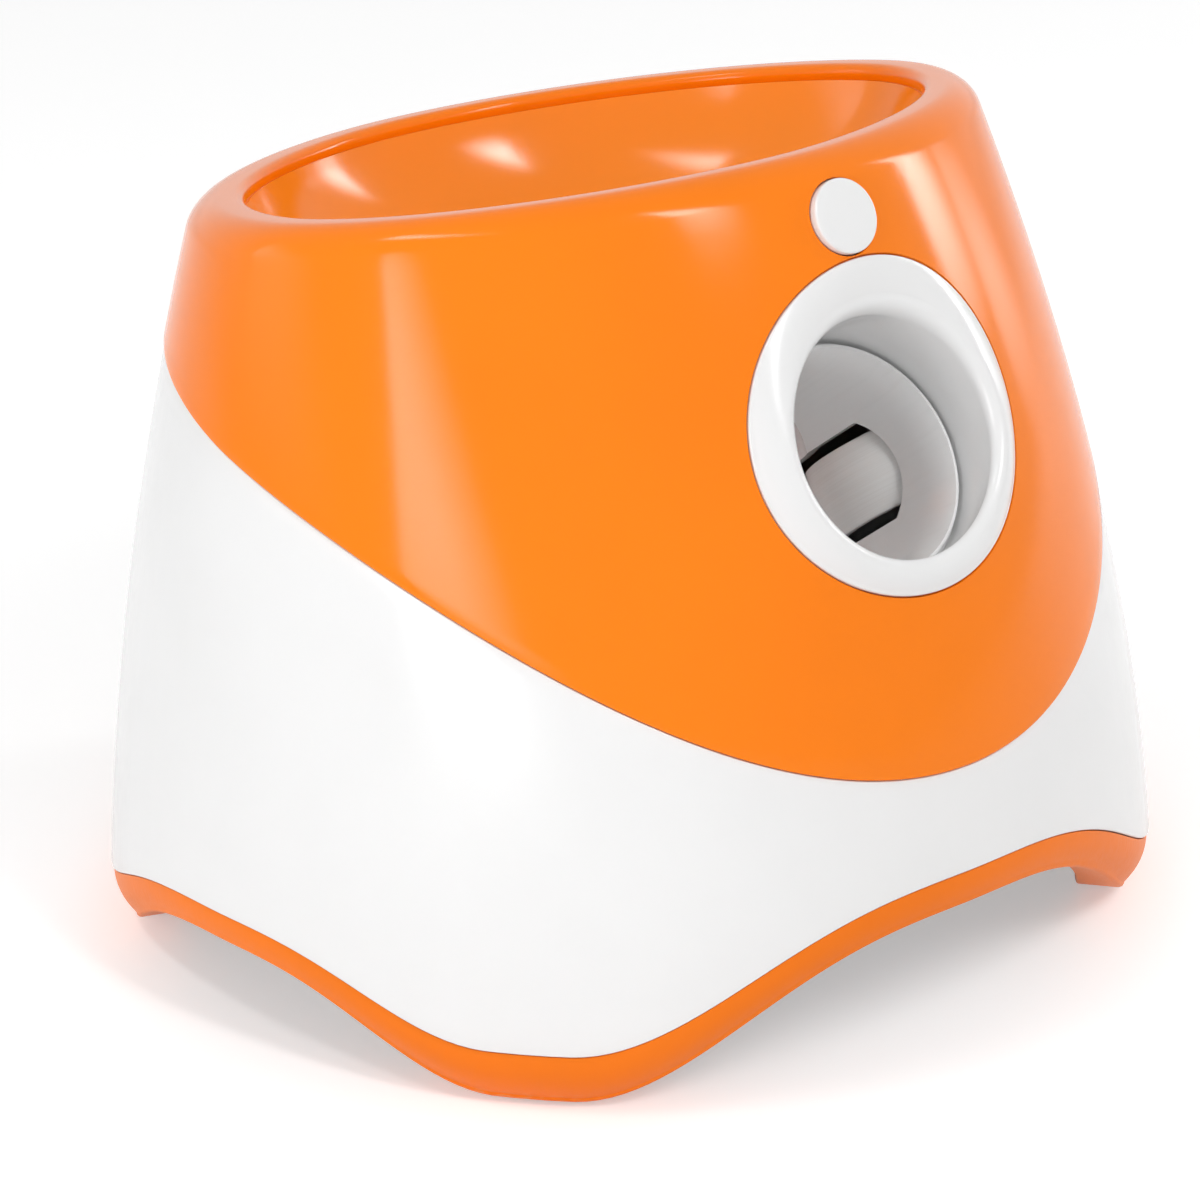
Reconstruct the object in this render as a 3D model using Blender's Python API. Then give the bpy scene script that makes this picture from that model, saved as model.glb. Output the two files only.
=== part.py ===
"""Automatic fetch-toy launcher for a dog, modelled as an assembly of separate pieces.

The front, with the launch opening, faces -Y. The floor is z = 0 and the origin is the middle of the
footprint. The skin is one bell-shaped surface: a rounded plan outline that tapers with height. Every
shell takes its walls, edges and joints from that surface. The launch barrel, wheels and feed parts
are drawn in the launch frame, whose x is the world's X, y points up across the barrel and z points
out of the mouth.
"""

import functools
import math

import bmesh
import bpy
from mathutils import Matrix, Vector

# Skin of the body
TAPER_HEIGHT = 0.200
FLOOR_HALF_WIDTH = 0.13325
WIDTH_LEAN = 0.0056
WIDTH_CROWN = 0.0283
FLOOR_FRONT_REACH = 0.1373
FRONT_LEAN = 0.0028
FRONT_CROWN = 0.0520
FLOOR_REAR_REACH = 0.11356
REAR_LEAN = 0.0017
REAR_CROWN = 0.0182
BODY_SETBACK = 0.01055
FLOOR_POWER_SHARE = 2.08
TOP_POWER_SHARE = 1.79

# Walls, joints and clearances
WALL = 0.0028
GAP = 0.0003
EDGE_SOFTNESS = 0.0006
LAP_HEIGHT = 0.0030
LAP_WALL = 0.0013
SKIRT_STEP = 0.0006
OVERRUN = 0.0060
MERGE_DISTANCE = 0.00001
MERGE_ANGLE = math.radians(0.2)
SHARP_ANGLE = math.radians(35)

# Rolled rim
RIM_HEIGHT = 0.1927
RIM_TILT = math.radians(10.54)
RIM_WIDTH = 0.0137
RIM_OUTER_RADIUS = 0.0065
RIM_INNER_RADIUS = 0.0050
RIM_LIP_DEPTH = 0.0065
RIM_WALL = 0.0026

# Curved parting line between the orange and the white shell
SPLIT_HEIGHT = 0.1415
SPLIT_TILT = math.radians(15.27)
SPLIT_RUN = 0.100
SPLIT_BOW = 0.02053

# Base trim, arches and feet
FRONT_FOOT_BEARING = math.radians(48)
REAR_FOOT_BEARING = math.radians(122)
FOOT_FLAT_BEARING = math.radians(4)
ARCH_SHOULDER_SHARE = 1.4
FOOT_TOP = 0.0158
FOOT_TAPER = 0.0085
FRONT_ARCH_TOP = 0.0468
FRONT_ARCH_UNDERSIDE = 0.0377
SIDE_ARCH_TOP = 0.0325
SIDE_ARCH_UNDERSIDE = 0.0245
REAR_ARCH_TOP = 0.0365
REAR_ARCH_UNDERSIDE = 0.0280
TRIM_THICKNESS = 0.0062
FOOT_THICKNESS = 0.0125
TRIM_TONGUE = 0.0050
TRIM_TONGUE_WALL = 0.0022
TRIM_EDGE_RADIUS = 0.0015
PAD_THICKNESS = 0.0016
PAD_RADIUS = 0.0038
PAD_SEAT = 0.0008

# Bottom cover, battery bay and cells
COVER_HEIGHT = 0.0410
COVER_THICKNESS = 0.0025
CELL_RADIUS = 0.0131
CELL_LENGTH = 0.0500
CELL_PITCH = 0.0268
CELL_ROWS = 3
CELL_CLEARANCE = 0.0004
TERMINAL_RADIUS = 0.0035
TERMINAL_LENGTH = 0.0015
CONTACT_THICKNESS = 0.0006
CONTACT_HEIGHT = 0.0180
CONTACT_INSET = 0.0040
TRAY_WALL = 0.0020
TRAY_FLANGE = 0.0030
TRAY_CENTRE_Y = 0.0500
LATCH_WIDTH = 0.0160
LATCH_DEPTH = 0.0060
LATCH_HEIGHT = 0.0020
GRIP_COUNT = 3
GRIP_WIDTH = 0.0100
GRIP_THICKNESS = 0.0008
GRIP_HEIGHT = 0.0005
GRIP_PITCH = 0.0016
VENT_COUNT = 4
VENT_LENGTH = 0.0260
VENT_WIDTH = 0.0022
VENT_PITCH = 0.0055
SOUND_SLOT_COUNT = 3
SOUND_SLOT_LENGTH = 0.0100
SCREW_RADIUS = 0.0015
SCREW_HEAD_RADIUS = 0.0030
SCREW_HEAD_HEIGHT = 0.0018
SCREW_LENGTH = 0.0100

# Launch barrel
LAUNCH_ANGLE = math.radians(37)
MOUTH_SINK = 0.00205
MOUTH_Z = 0.1470
BORE_RADIUS = 0.0269
BARREL_WALL = 0.0021
LIP_DEPTH = 0.0189
LIP_ROUNDING = 0.0004
FLARE_WIDTH = 0.0012
FLARE_DEPTH = 0.0120
BREECH_DEPTH = 0.1035
BREECH_FILLET = 0.0030
PORT_DEPTH = 0.0764
PORT_RADIUS = 0.0272
PORT_WALL = 0.0030
PORT_HEIGHT = 0.0323
PORT_FLANGE_WIDTH = 0.0045
PORT_FLANGE_THICKNESS = 0.0024

# Exit bezel
FACE_ANGLE = math.radians(25.4)
FACE_HEIGHT = 0.1494
BEZEL_RADIUS = 0.0390
BEZEL_PROUD = 0.00025
BEZEL_FLANGE = 0.0012
BEZEL_NECK_RADIUS = 0.0350
BEZEL_DOME = 0.0006
MOUTH_RADIUS = 0.0286
MOUTH_CREST_RADIUS = 0.0316
MOUTH_ROUNDING = 0.0032
MOUTH_BELLY_RADIUS = 0.0304
MOUTH_BELLY_DEPTH = 0.0150
SOCKET_DEPTH = 0.0220
SOCKET_LENGTH = 0.0070
BEZEL_TUBE_WALL = 0.0022

# Launch wheels and their motors
WHEEL_SKIN_ROOM = 0.0062952
WHEEL_WIDTH = 0.0190
WHEEL_CROWN = 0.0010
WHEEL_RIM = 0.0040
WHEEL_WEB = 0.0030
WHEEL_HUB_RADIUS = 0.0060
WHEEL_NIP = 0.0440
WHEEL_DEPTH = 0.0564
WHEEL_CLEARANCE = 0.0015
SLOT_MARGIN = 0.0030
SHAFT_RADIUS = 0.0016
MOTOR_RADIUS = 0.0138
MOTOR_LENGTH = 0.0360
MOTOR_BOSS_RADIUS = 0.0050
MOTOR_BOSS_HEIGHT = 0.0022
MOTOR_CAP_HEIGHT = 0.0020
TERMINAL_TAB_WIDTH = 0.0024
TERMINAL_TAB_THICKNESS = 0.0005
TERMINAL_TAB_LENGTH = 0.0042
TERMINAL_TAB_X = 0.0076

# Chassis that carries the motors and the barrel
CHASSIS_TOP_DROP = 0.0135
CHASSIS_THICKNESS = 0.0035
CHASSIS_RIB_THICKNESS = 0.0022
CHASSIS_RIB_HEIGHT = 0.0060
CHASSIS_SIDE_MARGIN = 0.0102
CHASSIS_FRONT_DEPTH = 0.0370
CHASSIS_REAR_DEPTH = 0.0850
SADDLE_WALL = 0.0030
LEG_RADIUS = 0.0040
LEG_EDGE = 0.0055
LEG_FRONT_SETBACK = 0.02855
LEG_REAR_SETBACK = 0.05055

# Feed chute, gate and sensing lever
CHUTE_TOP = 0.0520
CHUTE_WALL = 0.0023
SPIGOT_RADIUS = 0.0272
SPIGOT_LENGTH = 0.0050
GATE_SLOT_HEIGHT = 0.0038
GATE_THICKNESS = 0.0024
GATE_PIVOT_X = 0.0400
GATE_REACH = 0.0310
GATE_HUB_HALF_WIDTH = 0.0050
GATE_TIP_RADIUS = 0.0036
GATE_GEAR_RADIUS = 0.0090
GATE_GEAR_TEETH = 20
PINION_RADIUS = 0.0045
PINION_TEETH = 10
TOOTH_ADDENDUM = 0.0005
TOOTH_DEDENDUM = 0.0009
TOOTH_TIP_SHARE = 0.22
TOOTH_ROOT_SHARE = 0.50
GATE_PIN_RADIUS = 0.0015
BRACKET_THICKNESS = 0.0020
BRACKET_HALF_WIDTH = 0.0095
GATE_MOTOR_SIDE = 0.0120
GATE_GEARBOX_LENGTH = 0.0080
GATE_MOTOR_LENGTH = 0.0180
LEVER_PIVOT_X = 0.0350
LEVER_PIVOT_HEIGHT = 0.0475
LEVER_THICKNESS = 0.0026
LEVER_HUB_RADIUS = 0.0026
LEVER_NOSE_X = 0.0255
LEVER_NOSE_HEIGHT = 0.0400
LEVER_PIN_RADIUS = 0.0010
LEVER_SLOT_MARGIN = 0.0008
EAR_THICKNESS = 0.0018
SWITCH_LENGTH = 0.0128
SWITCH_WIDTH = 0.0058
SWITCH_HEIGHT = 0.0065
SWITCH_X = 0.0423
SWITCH_CENTRE_HEIGHT = 0.0430
SWITCH_LEG_SIDE = 0.0010
SWITCH_LEG_LENGTH = 0.0030
SWITCH_LEG_PITCH = 0.0050
SHELF_THICKNESS = 0.0017
SHELF_HALF_WIDTH = 0.0045

# Hopper bowl
BOWL_WALL = 0.0024
BOWL_KNEE_DROP_SHARE = 0.75
BOWL_KNEE_IN_SHARE = 0.15
BOWL_SEAT_WIDTH = 0.0002

# Button
BUTTON_HEIGHT = 0.1938
BUTTON_RADIUS = 0.0088
BUTTON_PROUD = 0.0012
BUTTON_SKIRT = 0.0046
BUTTON_SKIRT_WALL = 0.0014
BUTTON_ROUNDING = 0.0006
BUTTON_STEM_RADIUS = 0.0018
BUTTON_FLANGE_WIDTH = 0.0008
BUTTON_FLANGE_THICKNESS = 0.0010
BUTTON_TOP_THICKNESS = 0.0016
BUTTON_TRAVEL = 0.0015
SPRING_RADIUS = 0.0040
SPRING_WIRE = 0.00035
SPRING_TURNS = 4
BUTTON_BOARD_DEPTH = 0.0091
BUTTON_BOARD_LENGTH = 0.0290
BUTTON_BOARD_WIDTH = 0.0120
BUTTON_BOARD_THICKNESS = 0.0016
BUTTON_POST_X = 0.0118
BUTTON_POST_RADIUS = 0.0018
BUTTON_POST_START = 0.0022
TACT_SIDE = 0.0046
TACT_HEIGHT = 0.0030

# Control board, sounder and power jack
BOARD_PLACE_SHARE = 0.3032
BOARD_WIDTH_SHARE = 0.4654
BOARD_SETBACK = 0.0300
BOARD_LENGTH = 0.0600
BOARD_THICKNESS = 0.0016
STANDOFF_HEIGHT = 0.0060
STANDOFF_RADIUS = 0.0025
STANDOFF_INSET = 0.0040
SOUNDER_RADIUS = 0.0060
SOUNDER_HEIGHT = 0.0080
SOUNDER_OFFSET = 0.0150
CHIP_SIDE = 0.0100
CHIP_HEIGHT = 0.0014
CHIP_OFFSET = 0.0100
HEADER_LENGTH = 0.0140
HEADER_WIDTH = 0.0050
HEADER_HEIGHT = 0.0060
HEADER_OFFSET = 0.0235
JACK_HEIGHT = 0.0620
JACK_PROUD = 0.0004
JACK_COLLAR_LENGTH = 0.0060
JACK_BODY_SIDE = 0.0090
JACK_BODY_LENGTH = 0.0120
JACK_COLLAR_RADIUS = 0.0055
JACK_BORE_RADIUS = 0.0032
JACK_BORE_DEPTH = 0.0095
JACK_PIN_RADIUS = 0.0010

# Facet counts, and the steps of a search
SKIN_STEPS = 52
BOWL_STEPS = 36
ROUND_STEPS = 36
TUBE_STEPS = 28
WHEEL_STEPS = 20
SMALL_STEPS = 12
HALVINGS = 24

# Places worked out from the sizes above
BARREL_RADIUS = BORE_RADIUS + BARREL_WALL
OUTLET_HEIGHT = CHUTE_TOP + GAP
TILT = math.pi / 2 - LAUNCH_ANGLE
ACROSS = Matrix.Rotation(-math.pi / 2, 4, "X")


def clear_scene():
    """Remove the objects of the start-up scene."""
    for thing in list(bpy.data.objects):
        bpy.data.objects.remove(thing, do_unlink=True)


def plastic(name, colour, roughness, metallic=0.0):
    """A plain material with one colour."""
    material = bpy.data.materials.new(name)
    material.use_nodes = True
    shader = material.node_tree.nodes["Principled BSDF"]
    shader.inputs["Base Color"].default_value = (*colour, 1.0)
    shader.inputs["Roughness"].default_value = roughness
    shader.inputs["Metallic"].default_value = metallic
    return material


def add_object(name, shape, material, place=None):
    """Turn a bmesh into a named object, with its faces pointing out."""
    bmesh.ops.recalc_face_normals(shape, faces=shape.faces)
    mesh = bpy.data.meshes.new(name)
    shape.to_mesh(mesh)
    shape.free()
    mesh.shade_smooth()
    mesh.set_sharp_from_angle(angle=SHARP_ANGLE)
    mesh.materials.append(material)
    thing = bpy.data.objects.new(name, mesh)
    bpy.context.scene.collection.objects.link(thing)
    thing.matrix_world = place or Matrix.Identity(4)
    return thing


def loft(name, rings, material, place=None, ends=False):
    """Skin through rings of equal length. It joins on itself, or has flat ends where ends is true."""
    shape = bmesh.new()
    rows = [[shape.verts.new(point) for point in ring] for ring in rings]
    following = rows[1:] if ends else rows[1:] + rows[:1]
    for row, after in zip(rows, following):
        for step in range(len(row)):
            shape.faces.new((row[step - 1], row[step], after[step], after[step - 1]))
    bmesh.ops.triangulate(shape, faces=shape.faces)
    if ends:
        shape.faces.new(rows[0])
        shape.faces.new(rows[-1])
    return add_object(name, shape, material, place)


def turned(name, profile, material, place=None, steps=SMALL_STEPS, solid=True):
    """Profile spun about local z. A solid one starts and ends on the axis, a ring closes on itself."""
    shape = bmesh.new()
    points = [shape.verts.new((radius, 0.0, height)) for radius, height in profile]
    ends = points[1:] if solid else points[1:] + points[:1]
    edges = [shape.edges.new(pair) for pair in zip(points, ends)]
    centre = Vector((0.0, 0.0, 0.0))
    axis = Vector((0.0, 0.0, 1.0))
    bmesh.ops.spin(shape, geom=points + edges, cent=centre, axis=axis, angle=2 * math.pi, steps=steps)
    bmesh.ops.remove_doubles(shape, verts=shape.verts, dist=MERGE_DISTANCE)
    bmesh.ops.dissolve_limit(shape, angle_limit=MERGE_ANGLE, verts=shape.verts, edges=shape.edges)
    return add_object(name, shape, material, place)


def rod(name, radius, low, high, material, place=None, steps=SMALL_STEPS):
    """Plain cylinder along local z."""
    shape = bmesh.new()
    middle = Matrix.Translation((0.0, 0.0, (low + high) / 2))
    sizes = {"radius1": radius, "radius2": radius, "depth": high - low}
    bmesh.ops.create_cone(shape, cap_ends=True, segments=steps, matrix=middle, **sizes)
    return add_object(name, shape, material, place)


def prism(name, outline, low, high, material, place=None):
    """Flat outline extruded along local z."""
    shape = bmesh.new()
    face = shape.faces.new([shape.verts.new((x, y, low)) for x, y in outline])
    sweep = bmesh.ops.extrude_face_region(shape, geom=[face])
    raised = [item for item in sweep["geom"] if isinstance(item, bmesh.types.BMVert)]
    bmesh.ops.translate(shape, verts=raised, vec=(0.0, 0.0, high - low))
    return add_object(name, shape, material, place)


def block(name, low, high, material, place=None):
    """Box between two corners."""
    shape = bmesh.new()
    size = Vector(high) - Vector(low)
    middle = Matrix.Translation((Vector(low) + Vector(high)) / 2)
    bmesh.ops.create_cube(shape, size=1.0, matrix=middle @ Matrix.Diagonal((*size, 1.0)))
    return add_object(name, shape, material, place)


def settle(thing):
    """Turn a piece's modifiers into its mesh."""
    bpy.context.view_layer.update()
    graph = bpy.context.evaluated_depsgraph_get()
    mesh = bpy.data.meshes.new_from_object(thing.evaluated_get(graph))
    thing.modifiers.clear()
    old = thing.data
    thing.data = mesh
    bpy.data.meshes.remove(old)
    return thing


def combine(thing, tools, operation):
    """Join or cut a piece with tool shapes, which are then removed."""
    for tool in tools:
        change = thing.modifiers.new("combine", "BOOLEAN")
        change.operation = operation
        change.solver = "EXACT"
        change.object = tool
        tool.hide_render = True
        tool.display_type = "WIRE"
        settle(thing)
        bpy.data.objects.remove(tool, do_unlink=True)
    merge_flat_faces(thing.data)
    thing.data.shade_smooth()
    thing.data.set_sharp_from_angle(angle=SHARP_ANGLE)
    return thing


def merge_flat_faces(mesh):
    """Join faces that lie in one plane, and drop points that lie on a straight edge."""
    shape = bmesh.new()
    shape.from_mesh(mesh)
    bmesh.ops.remove_doubles(shape, verts=shape.verts, dist=MERGE_DISTANCE)
    bmesh.ops.dissolve_limit(shape, angle_limit=MERGE_ANGLE, verts=shape.verts, edges=shape.edges)
    shape.to_mesh(mesh)
    shape.free()


def rounded_outline(width, length, radius, steps=4):
    """Rectangle with round corners, about the origin."""
    points = []
    corners = ((1, 1, 0), (-1, 1, 1), (-1, -1, 2), (1, -1, 3))
    for across, along, quarter in corners:
        for step in range(steps + 1):
            turn = math.pi / 2 * (quarter + step / steps)
            x = across * (width / 2 - radius) + radius * math.cos(turn)
            y = along * (length / 2 - radius) + radius * math.sin(turn)
            points.append((x, y))
    return points


def skin_sizes(height, inset):
    """Half width, front reach, rear reach and roundness of the plan outline at a height."""
    rise = height / TAPER_HEIGHT
    side = FLOOR_HALF_WIDTH - WIDTH_LEAN * rise - WIDTH_CROWN * rise**2 - inset
    front = FLOOR_FRONT_REACH - FRONT_LEAN * rise - FRONT_CROWN * rise**2 - inset
    rear = FLOOR_REAR_REACH - REAR_LEAN * rise - REAR_CROWN * rise**2 - inset
    power = FLOOR_POWER_SHARE + (TOP_POWER_SHARE - FLOOR_POWER_SHARE) * rise
    return side, front, rear, power


def skin_point(bearing, height, inset=0.0):
    """Point of the skin, or inset from it. Bearing 0 is the front, and a quarter turn is +X."""
    side, front, rear, power = skin_sizes(height, inset)
    across, along = math.sin(bearing), -math.cos(bearing)
    reach = front if along < 0 else rear
    radius = (abs(across / side) ** power + abs(along / reach) ** power) ** (-1 / power)
    return Vector((radius * across, radius * along + BODY_SETBACK, height))


def launch_place():
    """Frame of the barrel: in the middle of the mouth, just inside the skin, with z out along the bore."""
    mouth = skin_point(0.0, MOUTH_Z, MOUTH_SINK)
    return Matrix.Translation(mouth) @ Matrix.Rotation(TILT, 4, "X")


def wheel_fits(radius):
    """Whether a wheel that touches the nip keeps its room inside the skin."""
    axle = Matrix.Translation((WHEEL_NIP / 2 + radius, 0.0, -WHEEL_DEPTH)) @ ACROSS
    place = launch_place() @ axle
    for turn in bearings(WHEEL_STEPS):
        for height in (-WHEEL_WIDTH / 2, WHEEL_WIDTH / 2):
            point = place @ Vector((radius * math.cos(turn), radius * math.sin(turn), height))
            reach = Vector((point.x, point.y - BODY_SETBACK))
            skin = skin_point(math.atan2(reach.x, -reach.y), point.z, WHEEL_SKIN_ROOM)
            if reach.length > Vector((skin.x, skin.y - BODY_SETBACK)).length:
                return False
    return True


@functools.cache
def wheel_radius():
    """Largest launch wheel that fits, found by halving."""
    small = 0.0
    large, _, _, _ = skin_sizes(MOUTH_Z, 0.0)
    for _ in range(HALVINGS):
        middle = (small + large) / 2
        if wheel_fits(middle):
            small = middle
        else:
            large = middle
    return small


def wheel_x():
    """Distance of a wheel's axle from the middle."""
    return WHEEL_NIP / 2 + wheel_radius()


def chassis_half_width():
    """Half the width of the motor plate, past the motors by a margin."""
    return wheel_x() + MOTOR_RADIUS + CHASSIS_SIDE_MARGIN


def height_on(bearing, inset, level):
    """Height at which the skin, inset, meets a level that depends on y."""
    height = level(0.0)
    for _ in range(16):
        height = level(skin_point(bearing, height, inset).y)
    return height


def rim_level(y):
    """Tilted plane of the rim's crest."""
    return RIM_HEIGHT - math.tan(RIM_TILT) * (y - BODY_SETBACK)


def split_level(y):
    """Curved parting line, seen from the side."""
    run = y - BODY_SETBACK
    return SPLIT_HEIGHT + math.tan(SPLIT_TILT) * run - SPLIT_BOW * (run / SPLIT_RUN) ** 2


def arch_level(bearing, front, side, rear, foot):
    """Height of a wavy base edge: high in the arches, low at the four feet."""
    turn = abs((bearing + math.pi) % (2 * math.pi) - math.pi)
    if turn < FRONT_FOOT_BEARING:
        centre, half, top = 0.0, FRONT_FOOT_BEARING, front
    elif turn < REAR_FOOT_BEARING:
        centre = (FRONT_FOOT_BEARING + REAR_FOOT_BEARING) / 2
        half, top = REAR_FOOT_BEARING - centre, side
    else:
        centre, half, top = math.pi, math.pi - REAR_FOOT_BEARING, rear
    away = min(1.0, abs(turn - centre) / (half - FOOT_FLAT_BEARING))
    fall = math.sin(math.pi / 2 * away**ARCH_SHOULDER_SHARE) ** 2
    return foot + (top - foot) * (1 - fall)


def trim_top(bearing):
    """Upper edge of the base trim."""
    return arch_level(bearing, FRONT_ARCH_TOP, SIDE_ARCH_TOP, REAR_ARCH_TOP, FOOT_TOP)


def trim_underside(bearing):
    """Lower edge of the base trim."""
    foot = PAD_THICKNESS - PAD_SEAT + GAP
    return arch_level(bearing, FRONT_ARCH_UNDERSIDE, SIDE_ARCH_UNDERSIDE, REAR_ARCH_UNDERSIDE, foot)


def trim_inset(drop):
    """How far the trim draws in below its upper edge."""
    return SKIRT_STEP + EDGE_SOFTNESS + FOOT_TAPER * (drop / FOOT_TOP) ** 2


def trim_thickness(bearing):
    """Thickness of the trim's underside: thin over the arches, wide at the feet."""
    return arch_level(bearing, TRIM_THICKNESS, TRIM_THICKNESS, TRIM_THICKNESS, FOOT_THICKNESS)


def bearings(count):
    """Equal steps of a full turn."""
    return [2 * math.pi * step / count for step in range(count)]


def skin_bearings():
    """Bearings of the skin's columns, with one at each edge of a foot's flat."""
    stops = [0.0]
    for foot in (FRONT_FOOT_BEARING, REAR_FOOT_BEARING):
        stops += [foot - FOOT_FLAT_BEARING, foot + FOOT_FLAT_BEARING]
    stops.append(math.pi)
    turns = []
    for start, stop in zip(stops, stops[1:]):
        count = round(SKIN_STEPS * (stop - start) / (2 * math.pi))
        turns += [start + (stop - start) * step / count for step in range(count)]
    return turns + [math.pi] + [-turn for turn in reversed(turns[1:])]


def arc(centre_x, centre_y, radius_x, radius_y, start, stop, count):
    """Points of an arc, from start to stop in quarter turns, both ends included."""
    points = []
    for step in range(count + 1):
        turn = math.pi / 2 * (start + (stop - start) * step / count)
        points.append((centre_x + radius_x * math.cos(turn), centre_y + radius_y * math.sin(turn)))
    return points


def make_lower_shell(white):
    """White skirt between the wavy base edge and the parting line, with a half-lap upper edge."""
    columns = []
    rows = 4
    for bearing in skin_bearings():
        low = trim_top(bearing) + GAP
        high = height_on(bearing, 0.0, split_level)
        outer = SKIRT_STEP
        inner = SKIRT_STEP + WALL
        section = [(outer + EDGE_SOFTNESS, low)]
        for row in range(rows + 1):
            section.append((outer, low + EDGE_SOFTNESS + (high - low - EDGE_SOFTNESS) * row / rows))
        section.append((inner - LAP_WALL, high))
        section.append((inner - LAP_WALL, high + LAP_HEIGHT))
        section.append((inner, high + LAP_HEIGHT))
        for row in range(rows, -1, -1):
            if row % 2 == 0:
                section.append((inner, low + (high - low) * row / rows))
        columns.append([skin_point(bearing, height, inset) for inset, height in section])
    shell = loft("lower_shell", columns, white)
    hole = rod("jack_hole", JACK_COLLAR_RADIUS + GAP, -OVERRUN, OVERRUN, white, jack_place())
    return combine(shell, [hole], "DIFFERENCE")


def rim_section(bearing):
    """Inset and height of the rolled rim's section, from its outer wall round to its inner wall."""
    outer = arc(RIM_OUTER_RADIUS, -RIM_OUTER_RADIUS, RIM_OUTER_RADIUS, RIM_OUTER_RADIUS, 2, 1, 3)
    start = RIM_WIDTH - RIM_INNER_RADIUS
    inner = arc(start, -RIM_INNER_RADIUS, RIM_INNER_RADIUS, RIM_INNER_RADIUS, 1, 0, 2)
    lip = [(RIM_WIDTH, -RIM_LIP_DEPTH), (RIM_WIDTH - RIM_WALL, -RIM_LIP_DEPTH)]
    inside_radius = RIM_INNER_RADIUS - RIM_WALL
    underside = arc(start, -RIM_INNER_RADIUS, inside_radius, inside_radius, 0, 1, 1)
    outside_radius = RIM_OUTER_RADIUS - WALL
    outside_rise = RIM_OUTER_RADIUS - RIM_WALL
    underside += arc(RIM_OUTER_RADIUS, -RIM_OUTER_RADIUS, outside_radius, outside_rise, 1, 2, 1)
    points = []
    for inset, drop in outer + inner + lip + underside:
        points.append((inset, height_on(bearing, inset, rim_level) + drop))
    return points


def make_top_housing(orange):
    """Orange upper shell with its rolled rim, the bezel's seat and the button's hole."""
    columns = []
    rows = 4
    for bearing in skin_bearings():
        split = height_on(bearing, 0.0, split_level)
        low = split + GAP
        lap = split + LAP_HEIGHT + GAP
        rim = rim_section(bearing)
        high = rim[0][1]
        tongue = SKIRT_STEP + WALL - LAP_WALL - GAP
        section = [(tongue, low), (EDGE_SOFTNESS, low)]
        for row in range(rows):
            section.append((0.0, low + EDGE_SOFTNESS + (high - low - EDGE_SOFTNESS) * row / rows))
        section += rim
        for share in (0.33, 0.67, 1.0):
            section.append((WALL, rim[-1][1] + (lap - rim[-1][1]) * share))
        section.append((tongue, lap))
        columns.append([skin_point(bearing, height, inset) for inset, height in section])
    housing = loft("top_housing", columns, orange)
    seat = bezel_seat_cutter(orange)
    spot = button_place()
    hole = rod("button_hole", BUTTON_RADIUS + GAP, -OVERRUN, OVERRUN, orange, spot, WHEEL_STEPS)
    flange = BUTTON_RADIUS + BUTTON_FLANGE_WIDTH + GAP
    face = BUTTON_FLANGE_THICKNESS + GAP - BUTTON_SKIRT
    recess = rod("flange_recess", flange, -BUTTON_BOARD_DEPTH, face, orange, spot, WHEEL_STEPS)
    combine(housing, [seat, hole, recess], "DIFFERENCE")
    posts = []
    for side in (-1, 1):
        post = spot @ Matrix.Translation((side * BUTTON_POST_X, 0.0, 0.0))
        low = GAP - BUTTON_BOARD_DEPTH
        posts.append(rod("post", BUTTON_POST_RADIUS, low, -BUTTON_POST_START, orange, post))
    return combine(housing, posts, "UNION")


def face_place():
    """Frame of the bezel: on the skin, with z out along the ring's own axis."""
    centre = skin_point(0.0, FACE_HEIGHT)
    return Matrix.Translation(centre) @ Matrix.Rotation(math.pi / 2 - FACE_ANGLE, 4, "X")


def on_skin(place, x, y, inset):
    """Point of the inset skin that lies on a frame's z line through x, y."""
    height = 0.0
    outward = place.to_3x3() @ Vector((0.0, 0.0, 1.0))
    for _ in range(40):
        point = place @ Vector((x, y, height))
        flat = Vector((point.x, point.y - BODY_SETBACK))
        bearing = math.atan2(flat.x, -flat.y)
        skin = skin_point(bearing, point.z, inset)
        reach = Vector((skin.x, skin.y - BODY_SETBACK)).length
        height += (reach - flat.length) * abs(outward.y)
    return place @ Vector((x, y, height))


def skin_ring(place, radius, inset, steps=ROUND_STEPS):
    """Ring of a given radius round a frame's axis that follows the skin."""
    turns = [2 * math.pi * step / steps for step in range(steps)]
    return [on_skin(place, radius * math.cos(turn), radius * math.sin(turn), inset) for turn in turns]


def mouth_ring(radius, depth, steps=ROUND_STEPS):
    """Ring of the mouth tube, whose plane turns from the bezel's face to the barrel's section."""
    turned_share = min(1.0, max(0.0, depth / MOUTH_BELLY_DEPTH))
    angle = FACE_ANGLE + (LAUNCH_ANGLE - FACE_ANGLE) * turned_share
    centre = launch_place() @ Vector((0.0, 0.0, -depth))
    place = Matrix.Translation(centre) @ Matrix.Rotation(math.pi / 2 - angle, 4, "X")
    turns = [2 * math.pi * step / steps for step in range(steps)]
    return [place @ Vector((radius * math.cos(turn), radius * math.sin(turn), 0.0)) for turn in turns]


def bezel_seat_cutter(material):
    """Stepped hole that the bezel's flange and neck sit in."""
    place = face_place()
    turns = bearings(ROUND_STEPS)
    wide = BEZEL_RADIUS + GAP
    rings = [
        [place @ Vector((wide * math.cos(turn), wide * math.sin(turn), OVERRUN)) for turn in turns],
        skin_ring(place, wide, BEZEL_FLANGE + GAP),
        skin_ring(place, BEZEL_NECK_RADIUS + GAP, BEZEL_FLANGE + GAP),
        skin_ring(place, BEZEL_NECK_RADIUS + 3 * GAP, WALL + OVERRUN),
    ]
    return loft("bezel_seat", rings, material, ends=True)


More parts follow.
